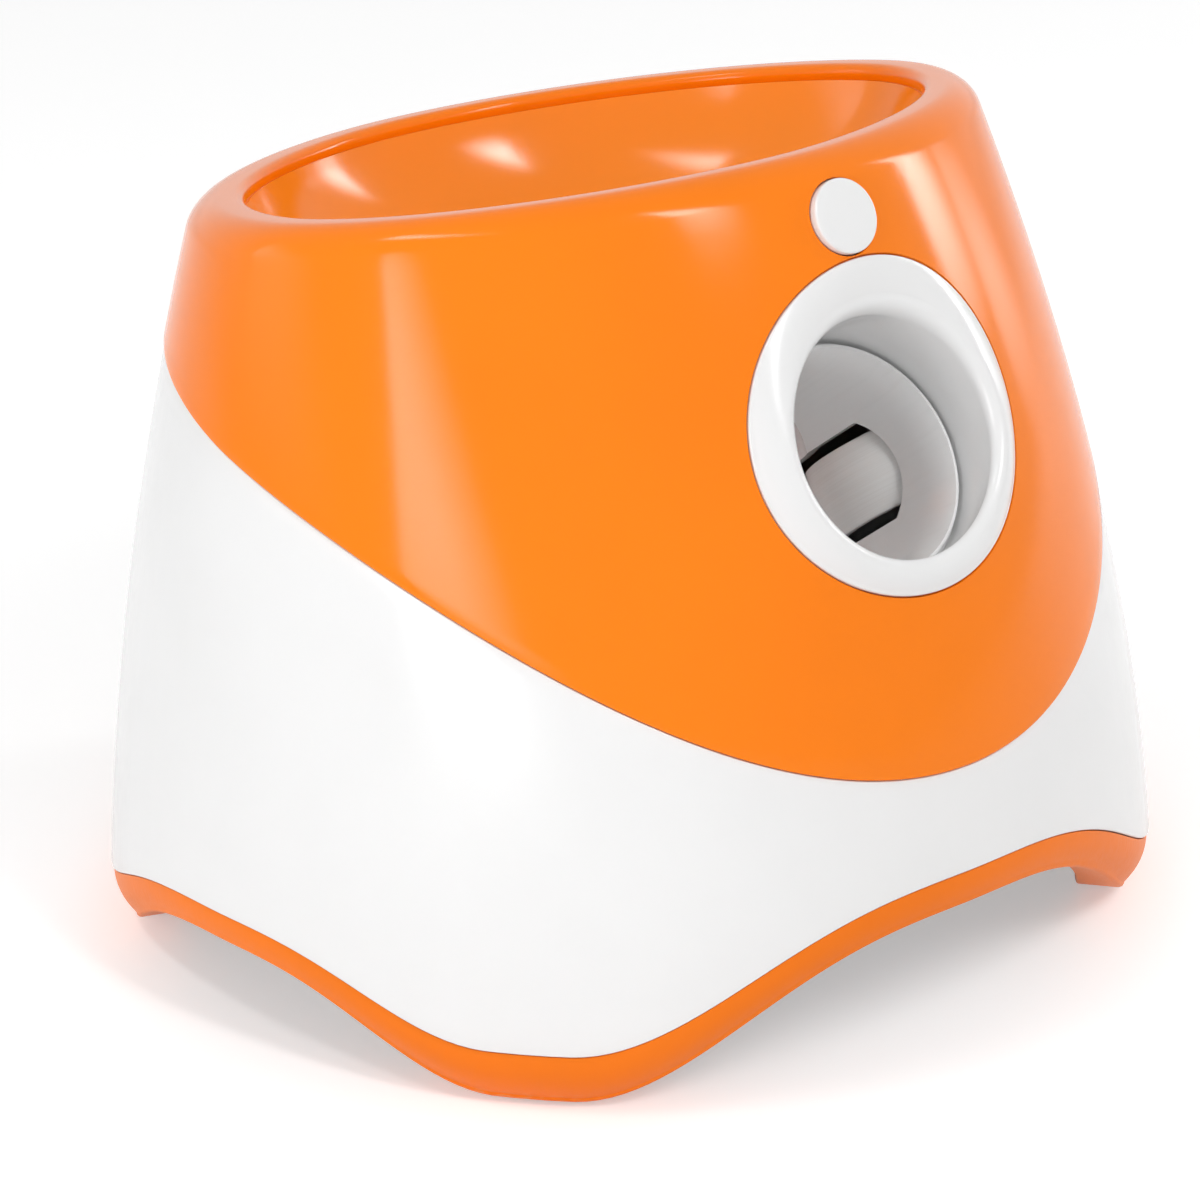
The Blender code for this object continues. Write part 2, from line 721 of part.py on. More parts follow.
def make_exit_bezel(white):
    """White ring round the launch opening, with the mouth tube that takes the barrel's lip."""
    place = face_place()
    outward = place.to_3x3() @ Vector((0.0, 0.0, 1.0))
    edge = skin_ring(place, BEZEL_RADIUS - EDGE_SOFTNESS, -BEZEL_PROUD)
    crest = mouth_ring(MOUTH_CREST_RADIUS, 0.0)
    face = []
    for share in (0.35, 0.70):
        face.append([a.lerp(b, share) + outward * BEZEL_DOME for a, b in zip(edge, crest)])
    socket = BARREL_RADIUS + GAP
    end = SOCKET_DEPTH + SOCKET_LENGTH
    belly = MOUTH_BELLY_RADIUS + BEZEL_TUBE_WALL
    rings = [
        skin_ring(place, BEZEL_RADIUS, BEZEL_FLANGE),
        skin_ring(place, BEZEL_RADIUS, EDGE_SOFTNESS - BEZEL_PROUD),
        edge,
        *face,
        crest,
        mouth_ring((MOUTH_CREST_RADIUS + MOUTH_RADIUS) / 2, MOUTH_ROUNDING / 4),
        mouth_ring(MOUTH_RADIUS, MOUTH_ROUNDING),
        mouth_ring(MOUTH_BELLY_RADIUS, MOUTH_BELLY_DEPTH),
        mouth_ring(MOUTH_BELLY_RADIUS, SOCKET_DEPTH),
        mouth_ring(socket, SOCKET_DEPTH),
        mouth_ring(socket, end),
        mouth_ring(socket + BEZEL_TUBE_WALL, end),
        mouth_ring(belly, MOUTH_BELLY_DEPTH),
        skin_ring(place, BEZEL_NECK_RADIUS, WALL),
        skin_ring(place, BEZEL_NECK_RADIUS, BEZEL_FLANGE),
    ]
    return loft("exit_bezel", rings, white)


def tube_end(radius, rear):
    """Rounded closed end of the barrel's outside or of its bore."""
    corner = arc(radius - BREECH_FILLET, BREECH_FILLET - rear, BREECH_FILLET, BREECH_FILLET, -1, 0, 2)
    return [(0, -rear), *corner]


def make_launch_barrel(white):
    """Inclined barrel with a closed breech, a feed port on top and a slot for each wheel."""
    launch = launch_place()
    rounding = LIP_DEPTH + LIP_ROUNDING
    outside = tube_end(BARREL_RADIUS, BREECH_DEPTH + BARREL_WALL)
    outside += [(BARREL_RADIUS, -rounding), (BARREL_RADIUS - LIP_ROUNDING, -LIP_DEPTH), (0, -LIP_DEPTH)]
    barrel = turned("launch_barrel", outside, white, launch, TUBE_STEPS)
    port = port_place()
    stub = rod("port", PORT_RADIUS + PORT_WALL, 0.0, PORT_HEIGHT, white, port, TUBE_STEPS)
    flange_radius = PORT_RADIUS + PORT_WALL + PORT_FLANGE_WIDTH
    flange_low = PORT_HEIGHT - PORT_FLANGE_THICKNESS
    flange = rod("flange", flange_radius, flange_low, PORT_HEIGHT, white, port, TUBE_STEPS)
    combine(barrel, [stub, flange], "UNION")
    flare = BORE_RADIUS + FLARE_WIDTH
    inside = tube_end(BORE_RADIUS, BREECH_DEPTH)
    inside += [(BORE_RADIUS, -LIP_DEPTH - FLARE_DEPTH), (flare, -LIP_DEPTH), (flare, OVERRUN), (0, OVERRUN)]
    tools = [
        turned("bore", inside, white, launch, TUBE_STEPS),
        rod("port_bore", PORT_RADIUS, 0.0, PORT_HEIGHT + OVERRUN, white, port, TUBE_STEPS),
    ]
    reach = wheel_radius() + WHEEL_CLEARANCE
    half = WHEEL_WIDTH / 2 + SLOT_MARGIN
    for side in (-1, 1):
        tools.append(rod("slot", reach, -half, half, white, wheel_place(side), TUBE_STEPS))
    return combine(barrel, tools, "DIFFERENCE")


def wheel_place(side):
    """Frame of a wheel, with z along its axle and across the barrel."""
    return launch_place() @ Matrix.Translation((side * wheel_x(), 0.0, -WHEEL_DEPTH)) @ ACROSS


def make_wheel(name, side, rubber):
    """Launch wheel: hub, web and a crowned rim."""
    half = WHEEL_WIDTH / 2
    radius = wheel_radius()
    rim = radius - WHEEL_RIM
    edge = radius - WHEEL_CROWN
    bore = SHAFT_RADIUS + GAP
    upper = [
        (radius, half / 3),
        (edge, half),
        (rim, half),
        (rim, WHEEL_WEB / 2),
        (WHEEL_HUB_RADIUS, WHEEL_WEB / 2),
        (WHEEL_HUB_RADIUS, half - EDGE_SOFTNESS),
        (bore, half - EDGE_SOFTNESS),
    ]
    lower = [(reach, -height) for reach, height in reversed(upper)]
    return turned(name, upper + lower, rubber, wheel_place(side), WHEEL_STEPS, solid=False)


def make_wheel_shaft(name, side, steel):
    """Motor shaft that carries a wheel."""
    low = -CHASSIS_TOP_DROP - CHASSIS_THICKNESS
    high = WHEEL_WIDTH / 2
    return rod(name, SHAFT_RADIUS, low, high, steel, wheel_place(side), SMALL_STEPS)


def make_drive_motor(name, side, steel):
    """Motor can below the chassis, with its rear bearing cap and two terminals."""
    top = -CHASSIS_TOP_DROP - CHASSIS_THICKNESS - GAP
    bottom = top - MOTOR_LENGTH
    profile = [
        (0, bottom - MOTOR_CAP_HEIGHT),
        (MOTOR_BOSS_RADIUS, bottom - MOTOR_CAP_HEIGHT),
        (MOTOR_BOSS_RADIUS, bottom),
        (MOTOR_RADIUS - MOTOR_BOSS_HEIGHT, bottom),
        (MOTOR_RADIUS, bottom + MOTOR_BOSS_HEIGHT),
        (MOTOR_RADIUS, top - EDGE_SOFTNESS),
        (MOTOR_RADIUS - EDGE_SOFTNESS, top),
        (0, top),
    ]
    motor = turned(name, profile, steel, wheel_place(side), SMALL_STEPS)
    tabs = []
    for hand in (-1, 1):
        ends = sorted((hand * TERMINAL_TAB_X, hand * (TERMINAL_TAB_X + TERMINAL_TAB_THICKNESS)))
        low = (ends[0], -TERMINAL_TAB_WIDTH / 2, bottom - TERMINAL_TAB_LENGTH)
        high = (ends[1], TERMINAL_TAB_WIDTH / 2, bottom + EDGE_SOFTNESS)
        tabs.append(block("tab", low, high, steel, wheel_place(side)))
    return combine(motor, tabs, "UNION")


def make_chassis(grey):
    """Moulded cradle: motor plate, barrel saddle and four legs down to the bottom cover."""
    top = -CHASSIS_TOP_DROP
    bottom = top - CHASSIS_THICKNESS
    launch = launch_place()
    half = chassis_half_width()
    low = (-half, bottom, -CHASSIS_REAR_DEPTH)
    high = (half, top, -CHASSIS_FRONT_DEPTH)
    chassis = block("launcher_chassis", low, high, grey, launch)
    saddle_radius = BARREL_RADIUS + GAP + SADDLE_WALL
    rear = -CHASSIS_REAR_DEPTH
    front = -CHASSIS_FRONT_DEPTH
    saddle = rod("saddle", saddle_radius, rear, front, grey, launch, TUBE_STEPS)
    ribs = []
    reach = half - CHASSIS_SIDE_MARGIN
    for start in (rear, front - CHASSIS_RIB_THICKNESS):
        low = (-reach, bottom - CHASSIS_RIB_HEIGHT, start)
        high = (reach, (top + bottom) / 2, start + CHASSIS_RIB_THICKNESS)
        ribs.append(block("rib", low, high, grey, launch))
    legs = []
    foot = COVER_HEIGHT + COVER_THICKNESS + GAP
    middle = (top + bottom) / 2
    for place in leg_places():
        run = place.translation.y - launch.translation.y
        depth = (run - middle * math.sin(LAUNCH_ANGLE)) / math.cos(LAUNCH_ANGLE)
        height = MOUTH_Z - depth * math.sin(LAUNCH_ANGLE) + middle * math.cos(LAUNCH_ANGLE)
        legs.append(rod("leg", LEG_RADIUS, foot, height, grey, place))
    combine(chassis, [saddle, *ribs, *legs], "UNION")
    clear = saddle_radius + OVERRUN
    low = (-clear, top, rear - OVERRUN)
    high = (clear, clear, front + OVERRUN)
    room = BARREL_RADIUS + GAP
    tools = [
        rod("room", room, rear - OVERRUN, front + OVERRUN, grey, launch, TUBE_STEPS),
        block("above", low, high, grey, launch),
    ]
    for side in (-1, 1):
        place = wheel_place(side)
        tools.append(rod("shaft_hole", SHAFT_RADIUS + GAP, bottom - OVERRUN, top + GAP, grey, place))
    hole = SCREW_RADIUS + GAP
    for place in leg_places():
        tools.append(rod("screw_hole", hole, foot - OVERRUN, foot + SCREW_LENGTH, grey, place))
    return combine(chassis, tools, "DIFFERENCE")


def leg_places():
    """Frames of the four legs, and of the screws that go up into them."""
    mouth = launch_place().translation
    x = chassis_half_width() - LEG_EDGE
    places = []
    for side in (-1, 1):
        for setback in (LEG_FRONT_SETBACK, LEG_REAR_SETBACK):
            places.append(Matrix.Translation((side * x, mouth.y + setback, 0.0)))
    return places


def port_place():
    """Frame of the feed port, with z up across the barrel."""
    return launch_place() @ Matrix.Translation((0.0, 0.0, -PORT_DEPTH)) @ ACROSS


def make_feed_chute(grey):
    """Tube from the bowl's spigot to the barrel's port, with a gate slot, a bracket and lever ears."""
    place = port_place()
    low = PORT_HEIGHT + GAP
    socket = SPIGOT_RADIUS + BOWL_WALL + GAP
    socket_floor = CHUTE_TOP - SPIGOT_LENGTH - GAP
    outer = socket + CHUTE_WALL
    chute = rod("feed_chute", outer, low, CHUTE_TOP, grey, place, TUBE_STEPS)
    slot_top = low + GATE_SLOT_HEIGHT
    pinion_x = GATE_PIVOT_X + GATE_GEAR_RADIUS + PINION_RADIUS
    bracket_end = pinion_x + BRACKET_HALF_WIDTH
    bracket = block(
        "bracket",
        (0.0, -BRACKET_HALF_WIDTH, slot_top),
        (bracket_end, BRACKET_HALF_WIDTH, slot_top + BRACKET_THICKNESS),
        grey,
        place,
    )
    ears = []
    ear_inner = LEVER_THICKNESS / 2 + LEVER_SLOT_MARGIN
    for side in (-1, 1):
        ends = sorted((side * ear_inner, side * (ear_inner + EAR_THICKNESS)))
        ear_low = LEVER_PIVOT_HEIGHT - 2 * LEVER_HUB_RADIUS
        ears.append(
            block(
                "ear",
                (-LEVER_PIVOT_X - LEVER_HUB_RADIUS, ends[0], ear_low),
                (-socket, ends[1], LEVER_PIVOT_HEIGHT + LEVER_HUB_RADIUS - GAP),
                grey,
                place,
            )
        )
    switch_low = SWITCH_CENTRE_HEIGHT - SWITCH_LENGTH / 2
    shelf = block(
        "shelf",
        (-SWITCH_X - SWITCH_HEIGHT / 2, -SHELF_HALF_WIDTH, switch_low - GAP - SHELF_THICKNESS),
        (-socket, SHELF_HALF_WIDTH, switch_low - GAP),
        grey,
        place,
    )
    combine(chute, [bracket, shelf, *ears], "UNION")
    lever_half = LEVER_THICKNESS / 2 + LEVER_SLOT_MARGIN
    pin_place = place @ Matrix.Translation((-LEVER_PIVOT_X, 0.0, LEVER_PIVOT_HEIGHT)) @ ACROSS
    pin_half = ear_inner + EAR_THICKNESS + OVERRUN
    slot_low = LEVER_NOSE_HEIGHT - LEVER_HUB_RADIUS - 2 * LEVER_SLOT_MARGIN
    gate_low = (-EDGE_SOFTNESS, -outer - OVERRUN, low - OVERRUN)
    tools = [
        rod("bore", PORT_RADIUS, low - OVERRUN, CHUTE_TOP + OVERRUN, grey, place, TUBE_STEPS),
        rod("socket", socket, socket_floor, CHUTE_TOP + OVERRUN, grey, place, BOWL_STEPS),
        block("gate_slot", gate_low, (outer, outer, slot_top), grey, place),
        block(
            "lever_slot",
            (-LEVER_PIVOT_X - LEVER_HUB_RADIUS, -lever_half, slot_low),
            (0.0, lever_half, CHUTE_TOP + OVERRUN),
            grey,
            place,
        ),
        rod("lever_pin_hole", LEVER_PIN_RADIUS + GAP, -pin_half, pin_half, grey, pin_place),
    ]
    for x in (GATE_PIVOT_X, pinion_x):
        spot = place @ Matrix.Translation((x, 0.0, 0.0))
        high = slot_top + BRACKET_THICKNESS + OVERRUN
        tools.append(rod("hole", GATE_PIN_RADIUS + GAP, slot_top - OVERRUN, high, grey, spot))
    return combine(chute, tools, "DIFFERENCE")


def gear_outline(teeth, pitch_radius, phase):
    """Outline of a small gear with plain flanked teeth."""
    points = []
    step = 2 * math.pi / teeth
    root = pitch_radius - TOOTH_DEDENDUM
    tip = pitch_radius + TOOTH_ADDENDUM
    for tooth in range(teeth):
        middle = phase + tooth * step
        spread = (
            (-TOOTH_ROOT_SHARE / 2, root),
            (-TOOTH_TIP_SHARE / 2, tip),
            (TOOTH_TIP_SHARE / 2, tip),
            (TOOTH_ROOT_SHARE / 2, root),
        )
        for share, radius in spread:
            turn = middle + share * step
            points.append((radius * math.cos(turn), radius * math.sin(turn)))
    return points


def gate_levels():
    """Lower and upper face of the gate in its slot."""
    low = PORT_HEIGHT + GAP + (GATE_SLOT_HEIGHT - GATE_THICKNESS) / 2
    return low, low + GATE_THICKNESS


def make_release_gate(grey):
    """Swinging finger that holds the load back, with gear teeth round its hub."""
    low, high = gate_levels()
    place = port_place() @ Matrix.Translation((GATE_PIVOT_X, 0.0, 0.0))
    gear = gear_outline(GATE_GEAR_TEETH, GATE_GEAR_RADIUS, math.pi / GATE_GEAR_TEETH)
    gate = prism("release_gate", gear, low, high, grey, place)
    tip = GATE_REACH - GATE_TIP_RADIUS
    finger = [(0.0, GATE_HUB_HALF_WIDTH), *arc(-tip, 0.0, GATE_TIP_RADIUS, GATE_TIP_RADIUS, 1, 3, 6)]
    finger.append((0.0, -GATE_HUB_HALF_WIDTH))
    combine(gate, [prism("finger", finger, low, high, grey, place)], "UNION")
    hole = rod("pin_hole", GATE_PIN_RADIUS + GAP, low - OVERRUN, high + OVERRUN, grey, place)
    return combine(gate, [hole], "DIFFERENCE")


def make_gate_pinion(brass):
    """Pinion with its shaft, driven by the gate motor."""
    low, high = gate_levels()
    x = GATE_PIVOT_X + GATE_GEAR_RADIUS + PINION_RADIUS
    place = port_place() @ Matrix.Translation((x, 0.0, 0.0))
    gear = gear_outline(PINION_TEETH, PINION_RADIUS, math.pi)
    pinion = prism("gate_pinion", gear, low, high, brass, place)
    top = PORT_HEIGHT + GAP + GATE_SLOT_HEIGHT + BRACKET_THICKNESS
    shaft = rod("shaft", GATE_PIN_RADIUS, (low + high) / 2, top, brass, place)
    return combine(pinion, [shaft], "UNION")


def make_gate_pin(steel):
    """Headed pin that the gate turns on."""
    low = PORT_HEIGHT + GAP
    top = low + GATE_SLOT_HEIGHT + BRACKET_THICKNESS + GAP
    place = port_place() @ Matrix.Translation((GATE_PIVOT_X, 0.0, 0.0))
    head = 2 * GATE_PIN_RADIUS
    profile = [(0, low), (GATE_PIN_RADIUS, low), (GATE_PIN_RADIUS, top), (head, top)]
    profile += [(head, top + GATE_PIN_RADIUS), (0, top + GATE_PIN_RADIUS)]
    return turned("gate_pin", profile, steel, place)


def make_gate_motor(steel):
    """Small geared motor that turns the pinion: a square gearbox and a round can."""
    low = PORT_HEIGHT + 2 * GAP + GATE_SLOT_HEIGHT + BRACKET_THICKNESS
    x = GATE_PIVOT_X + GATE_GEAR_RADIUS + PINION_RADIUS
    place = port_place() @ Matrix.Translation((x, 0.0, 0.0))
    side = GATE_MOTOR_SIDE
    gearbox = prism(
        "gate_motor",
        rounded_outline(side, side, EDGE_SOFTNESS, 1),
        low,
        low + GATE_GEARBOX_LENGTH,
        steel,
        place,
    )
    can_low = low + GATE_GEARBOX_LENGTH - GAP
    can = rod("can", side / 2 - EDGE_SOFTNESS, can_low, low + GATE_MOTOR_LENGTH, steel, place)
    return combine(gearbox, [can], "UNION")


def lever_place():
    """Frame of the sensing lever, with z along its pin."""
    return port_place() @ Matrix.Translation((-LEVER_PIVOT_X, 0.0, LEVER_PIVOT_HEIGHT)) @ ACROSS


def make_sensor_lever(black):
    """Lever whose nose stands into the chute and is pushed aside by what passes."""
    nose_x = LEVER_PIVOT_X - LEVER_NOSE_X
    nose_drop = LEVER_PIVOT_HEIGHT - LEVER_NOSE_HEIGHT
    outline = arc(0.0, 0.0, LEVER_HUB_RADIUS, LEVER_HUB_RADIUS, -2, 0, 6)
    outline += [
        (nose_x, nose_drop - LEVER_HUB_RADIUS),
        (nose_x + LEVER_HUB_RADIUS / 2, nose_drop),
        (nose_x, nose_drop + LEVER_HUB_RADIUS / 2),
        (-LEVER_HUB_RADIUS / 2, nose_drop),
    ]
    place = lever_place()
    half = LEVER_THICKNESS / 2
    lever = prism("sensor_lever", outline, -half, half, black, place)
    hole = rod("hole", LEVER_PIN_RADIUS + GAP, -half - OVERRUN, half + OVERRUN, black, place)
    return combine(lever, [hole], "DIFFERENCE")


def make_sensor_pin(steel):
    """Pin of the sensing lever."""
    half = LEVER_THICKNESS / 2 + LEVER_SLOT_MARGIN + EAR_THICKNESS
    return rod("sensor_pin", LEVER_PIN_RADIUS, -half, half, steel, lever_place())


def make_sensor_switch(black):
    """Switch body beside the lever, with two solder legs on its far side."""
    place = port_place()
    low = (-SWITCH_X - SWITCH_HEIGHT / 2, -SWITCH_WIDTH / 2, SWITCH_CENTRE_HEIGHT - SWITCH_LENGTH / 2)
    high = (-SWITCH_X + SWITCH_HEIGHT / 2, SWITCH_WIDTH / 2, SWITCH_CENTRE_HEIGHT + SWITCH_LENGTH / 2)
    switch = block("sensor_switch", low, high, black, place)
    legs = []
    half = SWITCH_LEG_SIDE / 2
    for side in (-1, 1):
        height = SWITCH_CENTRE_HEIGHT + side * SWITCH_LEG_PITCH / 2
        start = (low[0] - SWITCH_LEG_LENGTH, -half, height - half)
        legs.append(block("leg", start, (low[0] + half, half, height + half), black, place))
    return combine(switch, legs, "UNION")


def bowl_columns(outward):
    """Sections of the bowl's inner face, or of its outer face where outward is the wall."""
    place = port_place()
    columns = []
    rows = 5
    for bearing in bearings(BOWL_STEPS):
        inset = RIM_WIDTH + BOWL_SEAT_WIDTH - outward
        drop = RIM_LIP_DEPTH + GAP
        top = skin_point(bearing, height_on(bearing, inset, rim_level) - drop, inset)
        radius = SPIGOT_RADIUS + outward
        ring = Vector((radius * math.sin(bearing), -radius * math.cos(bearing), OUTLET_HEIGHT + BOWL_WALL))
        out = place @ ring
        fall = top.z - out.z
        knee = top.lerp(out, BOWL_KNEE_IN_SHARE)
        knee.z = top.z - fall * BOWL_KNEE_DROP_SHARE - outward
        column = []
        for row in range(rows + 1):
            share = row / rows
            point = top * (1 - share) ** 2 + knee * 2 * share * (1 - share) + out * share**2
            column.append(point)
        end = place @ Vector((ring.x, ring.y, CHUTE_TOP - SPIGOT_LENGTH))
        column.append(end)
        columns.append(column)
    return columns


def make_hopper_bowl(orange):
    """Funnel-shaped bowl under the rim, with a round spigot into the chute."""
    inside = bowl_columns(0.0)
    outside = bowl_columns(BOWL_WALL)
    columns = [inner + list(reversed(outer)) for inner, outer in zip(inside, outside)]
    return loft("hopper_bowl", columns, orange)


def make_base_trim(orange):
    """Orange band with four feet, tucked behind the white skirt by a tongue."""
    columns = []
    for bearing in skin_bearings():
        top = trim_top(bearing)
        low = trim_underside(bearing)
        tall = top - low
        outer = []
        for share in (0.0, 0.5):
            outer.append((trim_inset(tall * share), top - tall * share))
        foot = trim_inset(tall - TRIM_EDGE_RADIUS)
        outer.append((foot, low + TRIM_EDGE_RADIUS))
        outer.append((foot + TRIM_EDGE_RADIUS, low))
        back = SKIRT_STEP + WALL + GAP
        inner_low = foot + trim_thickness(bearing)
        section = outer
        section.append((inner_low, low))
        section.append((inner_low, low + TRIM_EDGE_RADIUS))
        section.append((back + TRIM_TONGUE_WALL, top))
        section.append((back + TRIM_TONGUE_WALL, top + TRIM_TONGUE))
        section.append((back, top + TRIM_TONGUE))
        section.append((back, top))
        columns.append([skin_point(bearing, height, inset) for inset, height in section])
    trim = loft("base_trim", columns, orange)
    seats = []
    for _, place in foot_places():
        seats.append(rod("pad_seat", PAD_RADIUS + GAP, -OVERRUN, PAD_THICKNESS + GAP, orange, place))
    return combine(trim, seats, "DIFFERENCE")


def foot_places():
    """Name and frame of each foot's pad."""
    tall = FOOT_TOP - PAD_THICKNESS
    inset = trim_inset(tall) + (TRIM_EDGE_RADIUS + FOOT_THICKNESS) / 2
    places = []
    for side in (-1, 1):
        for label, bearing in (("front", FRONT_FOOT_BEARING), ("rear", REAR_FOOT_BEARING)):
            point = skin_point(side * bearing, 0.0, inset)
            name = label + ("_left" if side < 0 else "_right")
            places.append((name, Matrix.Translation(point)))
    return places


def make_foot_pads(rubber):
    """Four rubber pads in the feet."""
    for name, place in foot_places():
        rod("foot_pad_" + name, PAD_RADIUS, 0.0, PAD_THICKNESS, rubber, place)


def cover_inset(bearing):
    """Inset of the bottom cover's edge, clear of the trim's back."""
    back = SKIRT_STEP + WALL + GAP + TRIM_TONGUE_WALL
    top = trim_top(bearing)
    low = trim_underside(bearing) + TRIM_EDGE_RADIUS
    if top <= COVER_HEIGHT:
        return back + GAP
    wide = trim_inset(top - low) + trim_thickness(bearing)
    share = (top - max(COVER_HEIGHT, low)) / (top - low)
    return back + (wide - back) * share + GAP


def tray_size():
    """Half length along x, half width along y and height of the battery bay's inside."""
    half_length = CELL_LENGTH + TERMINAL_LENGTH + CONTACT_THICKNESS + 5 * GAP / 2
    half_width = CELL_ROWS * CELL_PITCH / 2
    return half_length, half_width, 2 * CELL_RADIUS + GAP + CELL_CLEARANCE


def bay_block(name, grow, low, high, material):
    """Box over the battery bay, larger than its inside by a margin."""
    half_length, half_width, _ = tray_size()
    place = Matrix.Translation((0.0, TRAY_CENTRE_Y, 0.0))
    corner = (half_length + grow, half_width + grow)
    return block(name, (-corner[0], -corner[1], low), (corner[0], corner[1], high), material, place)


def cover_slots(x, y, length, count, grey):
    """Cutters for a row of slots through the bottom cover."""
    cutters = []
    place = Matrix.Translation((x, y, COVER_HEIGHT))
    for number in range(count):
        along = (number - (count - 1) / 2) * VENT_PITCH
        low = (-length / 2, along - VENT_WIDTH / 2, -OVERRUN)
        high = (length / 2, along + VENT_WIDTH / 2, COVER_THICKNESS + OVERRUN)
        cutters.append(block("slot", low, high, grey, place))
    return cutters


def make_bottom_cover(grey):
    """Flat cover with the battery opening, vents, sound slots, board stand-offs and screw holes."""
    top = COVER_HEIGHT + COVER_THICKNESS
    rings = []
    for height in (COVER_HEIGHT, top):
        rings.append([skin_point(turn, height, cover_inset(turn)) for turn in skin_bearings()])
    cover = loft("bottom_cover", rings, grey, ends=True)
    stands = []
    low = COVER_HEIGHT + GAP
    for place in standoff_places():
        stands.append(rod("standoff", STANDOFF_RADIUS, low, top + STANDOFF_HEIGHT, grey, place))
    combine(cover, stands, "UNION")
    tools = [bay_block("opening", 0.0, COVER_HEIGHT - OVERRUN, top + OVERRUN, grey)]
    hole = SCREW_RADIUS + GAP
    for place in leg_places():
        tools.append(rod("screw_hole", hole, COVER_HEIGHT - OVERRUN, top + OVERRUN, grey, place))
    for side in (-1, 1):
        end = wheel_place(side) @ Vector((0.0, 0.0, -MOTOR_LENGTH))
        tools += cover_slots(end.x, end.y, VENT_LENGTH, VENT_COUNT, grey)
    spot = board_place() @ Vector((0.0, -SOUNDER_OFFSET, 0.0))
    tools += cover_slots(spot.x, spot.y, SOUND_SLOT_LENGTH, SOUND_SLOT_COUNT, grey)
    return combine(cover, tools, "DIFFERENCE")


def board_room():
    """Edge of the battery tray, and the free width from there to the skin."""
    half_length, _, _ = tray_size()
    edge = half_length + TRAY_WALL + TRAY_FLANGE
    side, _, _, _ = skin_sizes(COVER_HEIGHT, 0.0)
    return edge, side - edge


def board_place():
    """Frame of the control board, between the battery tray and the left wall."""
    edge, room = board_room()
    return Matrix.Translation((-edge - BOARD_PLACE_SHARE * room, BOARD_SETBACK, 0.0))


def board_width():
    """Width of the control board, which fills its share of the room."""
    _, room = board_room()
    return BOARD_WIDTH_SHARE * room


def standoff_places():
    """Frames of the control board's stand-offs."""
    places = []
    for across in (-1, 1):
        for along in (-1, 1):
            x = across * (board_width() / 2 - STANDOFF_INSET)
            y = along * (BOARD_LENGTH / 2 - STANDOFF_INSET)
            places.append(board_place() @ Matrix.Translation((x, y, 0.0)))
    return places


def make_cover_screws(steel):
    """Headed screws up through the bottom cover into the chassis legs."""
    names = ("left_front", "left_rear", "right_front", "right_rear")
    low = COVER_HEIGHT - GAP
    high = COVER_HEIGHT + COVER_THICKNESS + SCREW_LENGTH - GAP
    head = low - SCREW_HEAD_HEIGHT
    for name, place in zip(names, leg_places()):
        profile = [(0, head), (SCREW_HEAD_RADIUS, head), (SCREW_HEAD_RADIUS, low)]
        profile += [(SCREW_RADIUS, low), (SCREW_RADIUS, high), (0, high)]
        turned("cover_screw_" + name, profile, steel, place, SMALL_STEPS)


def make_battery_tray(black):
    """Open-bottomed box over the cells, with a flange on the bottom cover."""
    _, _, tall = tray_size()
    floor = COVER_HEIGHT + COVER_THICKNESS + GAP
    inside = COVER_HEIGHT + COVER_THICKNESS + tall
    tray = bay_block("battery_tray", TRAY_WALL, floor, inside + TRAY_WALL, black)
    combine(tray, [bay_block("flange", TRAY_WALL + TRAY_FLANGE, floor, floor + TRAY_WALL, black)], "UNION")
    return combine(tray, [bay_block("inside", 0.0, floor - OVERRUN, inside, black)], "DIFFERENCE")


def make_battery_door(grey):
    """Door that closes the battery opening, with a raised latch pad and its grip ribs."""
    _, half_width, _ = tray_size()
    door = bay_block("battery_door", -GAP, COVER_HEIGHT, COVER_HEIGHT + COVER_THICKNESS, grey)
    y = TRAY_CENTRE_Y - half_width + GAP + LATCH_DEPTH
    outline = rounded_outline(LATCH_WIDTH, LATCH_DEPTH, LATCH_DEPTH / 3, 2)
    place = Matrix.Translation((0.0, y, 0.0))
    low = COVER_HEIGHT - LATCH_HEIGHT
    raised = [prism("pad", outline, low, COVER_HEIGHT + COVER_THICKNESS / 2, grey, place)]
    for number in range(GRIP_COUNT):
        along = (number - (GRIP_COUNT - 1) / 2) * GRIP_PITCH
        start = (-GRIP_WIDTH / 2, along - GRIP_THICKNESS / 2, low - GRIP_HEIGHT)
        stop = (GRIP_WIDTH / 2, along + GRIP_THICKNESS / 2, low + GRIP_HEIGHT)
        raised.append(block("grip", start, stop, grey, place))
    return combine(door, raised, "UNION")


def make_cells(cell_skin):
    """Six cells in three rows of two."""
    half_length, _, _ = tray_size()
    height = COVER_HEIGHT + COVER_THICKNESS + GAP + CELL_RADIUS
    start = -half_length + CONTACT_THICKNESS + 2 * GAP
    profile = [
        (0, 0),
        (CELL_RADIUS, 0),
        (CELL_RADIUS, CELL_LENGTH),
        (TERMINAL_RADIUS, CELL_LENGTH),
        (TERMINAL_RADIUS, CELL_LENGTH + TERMINAL_LENGTH),
        (0, CELL_LENGTH + TERMINAL_LENGTH),
    ]
    number = 0
    for row in range(CELL_ROWS):
        y = TRAY_CENTRE_Y + (row - (CELL_ROWS - 1) / 2) * CELL_PITCH
        for column in range(2):
            number += 1
            x = start + column * (CELL_LENGTH + TERMINAL_LENGTH + GAP)
            place = Matrix.Translation((x, y, height)) @ Matrix.Rotation(math.pi / 2, 4, "Y")
            turned("cell_" + str(number), profile, cell_skin, place, SMALL_STEPS)


